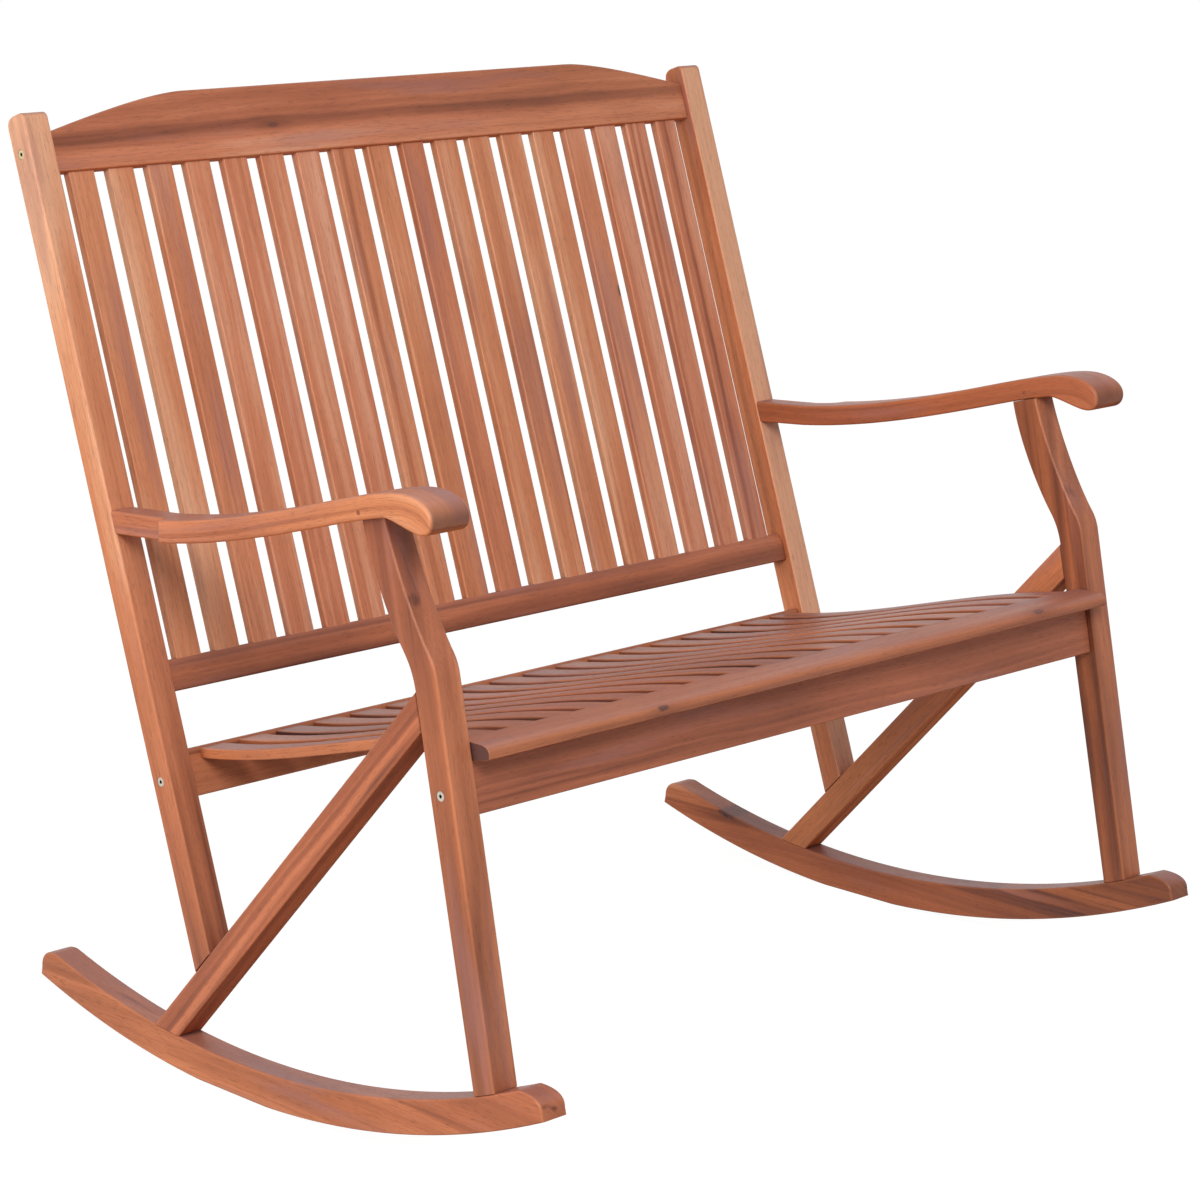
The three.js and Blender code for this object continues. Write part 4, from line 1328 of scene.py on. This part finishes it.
class BENCH_OT_arms(bpy.types.Operator):
    """Arms with their scroll, cove and tongue"""
    bl_idname = "bench.arms"
    bl_label = "Arms"

    def execute(self, context):
        radius = context.scene.bench_boards.arm_arris
        make_arm(-1, "arm_left", radius)
        make_arm(1, "arm_right", radius)
        return {"FINISHED"}


class BENCH_OT_rails(bpy.types.Operator):
    """Top rail, lower back rail, seat rail, apron and nosing"""
    bl_idname = "bench.rails"
    bl_label = "Rails"

    def execute(self, context):
        arris = context.scene.bench_boards.rail_arris
        up = Vector((0, *heading(POST_LEAN)))

        def leaning(u, v, w):
            return spatial(post_point(w, v), u)
        thick = (level(RAIL_RECESS), level(RAIL_BACK))
        long = (level(-RAIL_END), level(RAIL_END))
        for name, outline, faces, ease, place, across in (
            ("top_rail", top_rail_outline(), thick, 1.0, leaning, up),
            ("lower_back_rail", eased(low_rail_outline()), long, RAIL_EASE, side_place, up),
            ("rear_seat_rail", eased(seat_rail_outline()), long, RAIL_EASE, side_place, up),
            ("front_apron", eased(apron_outline()), long, RAIL_EASE, side_place, up),
            ("seat_nosing", eased(nosing_outline()), long, SEAT_NOSING_EASE, side_place,
             Vector((0, 1, 1))),
        ):
            mesh = smoothed(rounded_board(outline, *faces, arris * ease, place))
            set_grain(mesh, name, Vector((1, 0, 0)), across)
            piece(f"{name}_board", mesh, [name])
        return {"FINISHED"}


class BENCH_OT_back_slats(bpy.types.Operator):
    """Slats of the back, let into both rails"""
    bl_idname = "bench.back_slats"
    bl_label = "Back slats"

    def execute(self, context):
        low = spatial(post_point(RAIL_MIDDLE, LOW_RAIL + LOW_RAIL_HEIGHT - POCKET))
        high = spatial(post_point(RAIL_MIDDLE, TOP_RAIL + POCKET))
        curve = [low, low.lerp(high, 1 / 3), low.lerp(high, 2 / 3), high]
        slat_row("back_slats", "back_slat_", curve, {
            # Painted light: the back slats' sides are lightened
            "Tone": -0.20, "Tone Spread": 0.08, "Side Tone": -0.09, "First Side Tone": -0.09,
            "Knot Slat": 14, "Knot Place": (0.364, 0.016, 0.0042)})
        return {"FINISHED"}


class BENCH_OT_seat_slats(bpy.types.Operator):
    """Dished slats of the seat"""
    bl_idname = "bench.seat_slats"
    bl_label = "Seat slats"

    def execute(self, context):
        half = Vector((0, 0, context.scene.bench_slats.thickness / 2))
        curve = [spatial(p) - half for p in seat_line()]
        slat_row("seat_slats", "seat_slat_", curve, {
            # Painted shade darkens the sides in the gaps between seat slats; the first slat's sides
            # are painted lighter
            "Tone": 0.06, "Tone Spread": 0.12, "Side Tone": 0.36, "First Side Tone": -0.1,
            "Knot Slat": -1, "Knot Place": FAR_OFF})
        return {"FINISHED"}


class BENCH_OT_fixings(bpy.types.Operator):
    """Finishes of the bolts and of the wooden pins"""
    bl_idname = "bench.fixings"
    bl_label = "Bolts and pins"

    def execute(self, context):
        finishes = (("top_bolt", "brass"), ("bolt", "steel"), ("arm_pin", "pin_wood"))
        for name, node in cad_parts.items():
            chosen = next((f for part, f in finishes if part in name), None)
            for slot in node.material_slots if chosen else ():
                slot.link = "OBJECT"
                slot.material = finish(chosen)
        return {"FINISHED"}


class BENCH_OT_stage(bpy.types.Operator):
    """Floor, lights and camera"""
    bl_idname = "bench.stage"
    bl_label = "Stage"

    def execute(self, context):
        scene = context.scene
        look = scene.bench_stage
        scene.view_settings.view_transform = "Standard"

        mesh = bpy.data.meshes.new("floor")
        corners = [(x * FLOOR_HALF, y * FLOOR_HALF, 0)
                   for x, y in ((-1, -1), (1, -1), (1, 1), (-1, 1))]
        mesh.from_pydata(corners, [], [(0, 1, 2, 3)])
        mesh.materials.append(floor_finish(look))
        floor = linked("floor", mesh)
        floor.location.z = -FLOOR_DROP

        scene.world = bpy.data.worlds.new("studio")
        scene.world.use_nodes = True
        sky = Nodes(scene.world.node_tree)
        strength = sky.seen() * (1.0 - look.sky) + look.sky
        light = sky.node("ShaderNodeBackground", {}, {"Color": (1, 1, 1, 1), "Strength": strength})
        sky.node("ShaderNodeOutputWorld", {}, {"Surface": light})
        lamp("key", KEY_PLACE, KEY_SIZE, look.key)
        lamp("side", SIDE_PLACE, SIDE_SIZE, look.side)

        data = bpy.data.cameras.new("camera")
        data.sensor_width = SENSOR
        data.lens = LENS
        scene.camera = linked("camera", data)
        scene.camera.location = CAMERA_PLACE
        scene.camera.rotation_euler = (math.radians(CAMERA_TILT), 0, math.radians(CAMERA_TURN))
        return {"FINISHED"}


def lamp(name, place, size, power):
    """A round lamp that points at the bench."""
    data = bpy.data.lights.new(name, "AREA")
    data.shape = "DISK"
    data.size = size
    data.energy = power
    obj = linked(name, data)
    obj.location = place
    obj.rotation_euler = (TARGET - Vector(place)).to_track_quat("-Z", "Y").to_euler()


def floor_finish(look):
    """A pale floor that the camera sees nearly white, with a soft shadow."""
    floor = Finish("floor")
    diffuse = floor.node("ShaderNodeBsdfDiffuse", {}, {"Color": (*look.floor, 1)})
    glow = floor.node(
        "ShaderNodeEmission", {}, {"Color": (1, 1, 1, 1), "Strength": FLOOR_GLOW})
    both = floor.node(
        "ShaderNodeMixShader", {}, {0: floor.seen() * FLOOR_GLOW_SHARE, 1: diffuse, 2: glow})
    floor.node("ShaderNodeOutputMaterial", {}, {"Surface": both})
    return floor.material


OPERATORS = (
    BENCH_OT_rockers, BENCH_OT_legs, BENCH_OT_posts, BENCH_OT_braces, BENCH_OT_arms,
    BENCH_OT_rails, BENCH_OT_back_slats, BENCH_OT_seat_slats, BENCH_OT_fixings, BENCH_OT_stage,
)


class BENCH_PT_panel(bpy.types.Panel):
    """Sizes, finishes and steps of the bench"""
    bl_label = "Rocking bench"
    bl_space_type = "VIEW_3D"
    bl_region_type = "UI"
    bl_category = "Bench"

    def draw(self, context):
        for name, group in GROUPS.items():
            values = getattr(context.scene, name)
            box = self.layout.box()
            for key in group.__annotations__:
                box.prop(values, key)
        for operator in OPERATORS:
            self.layout.operator(operator.bl_idname)


def register():
    for cls in (*GROUPS.values(), *OPERATORS, BENCH_PT_panel):
        bpy.utils.register_class(cls)
    for name, group in GROUPS.items():
        setattr(bpy.types.Scene, name, PointerProperty(type=group))


def unregister():
    for name in GROUPS:
        delattr(bpy.types.Scene, name)
    for cls in (BENCH_PT_panel, *reversed(OPERATORS), *reversed(tuple(GROUPS.values()))):
        bpy.utils.unregister_class(cls)


def main():
    register()
    for operator in OPERATORS:
        group, name = operator.bl_idname.split(".")
        getattr(getattr(bpy.ops, group), name)()


if __name__ == "__main__":
    main()
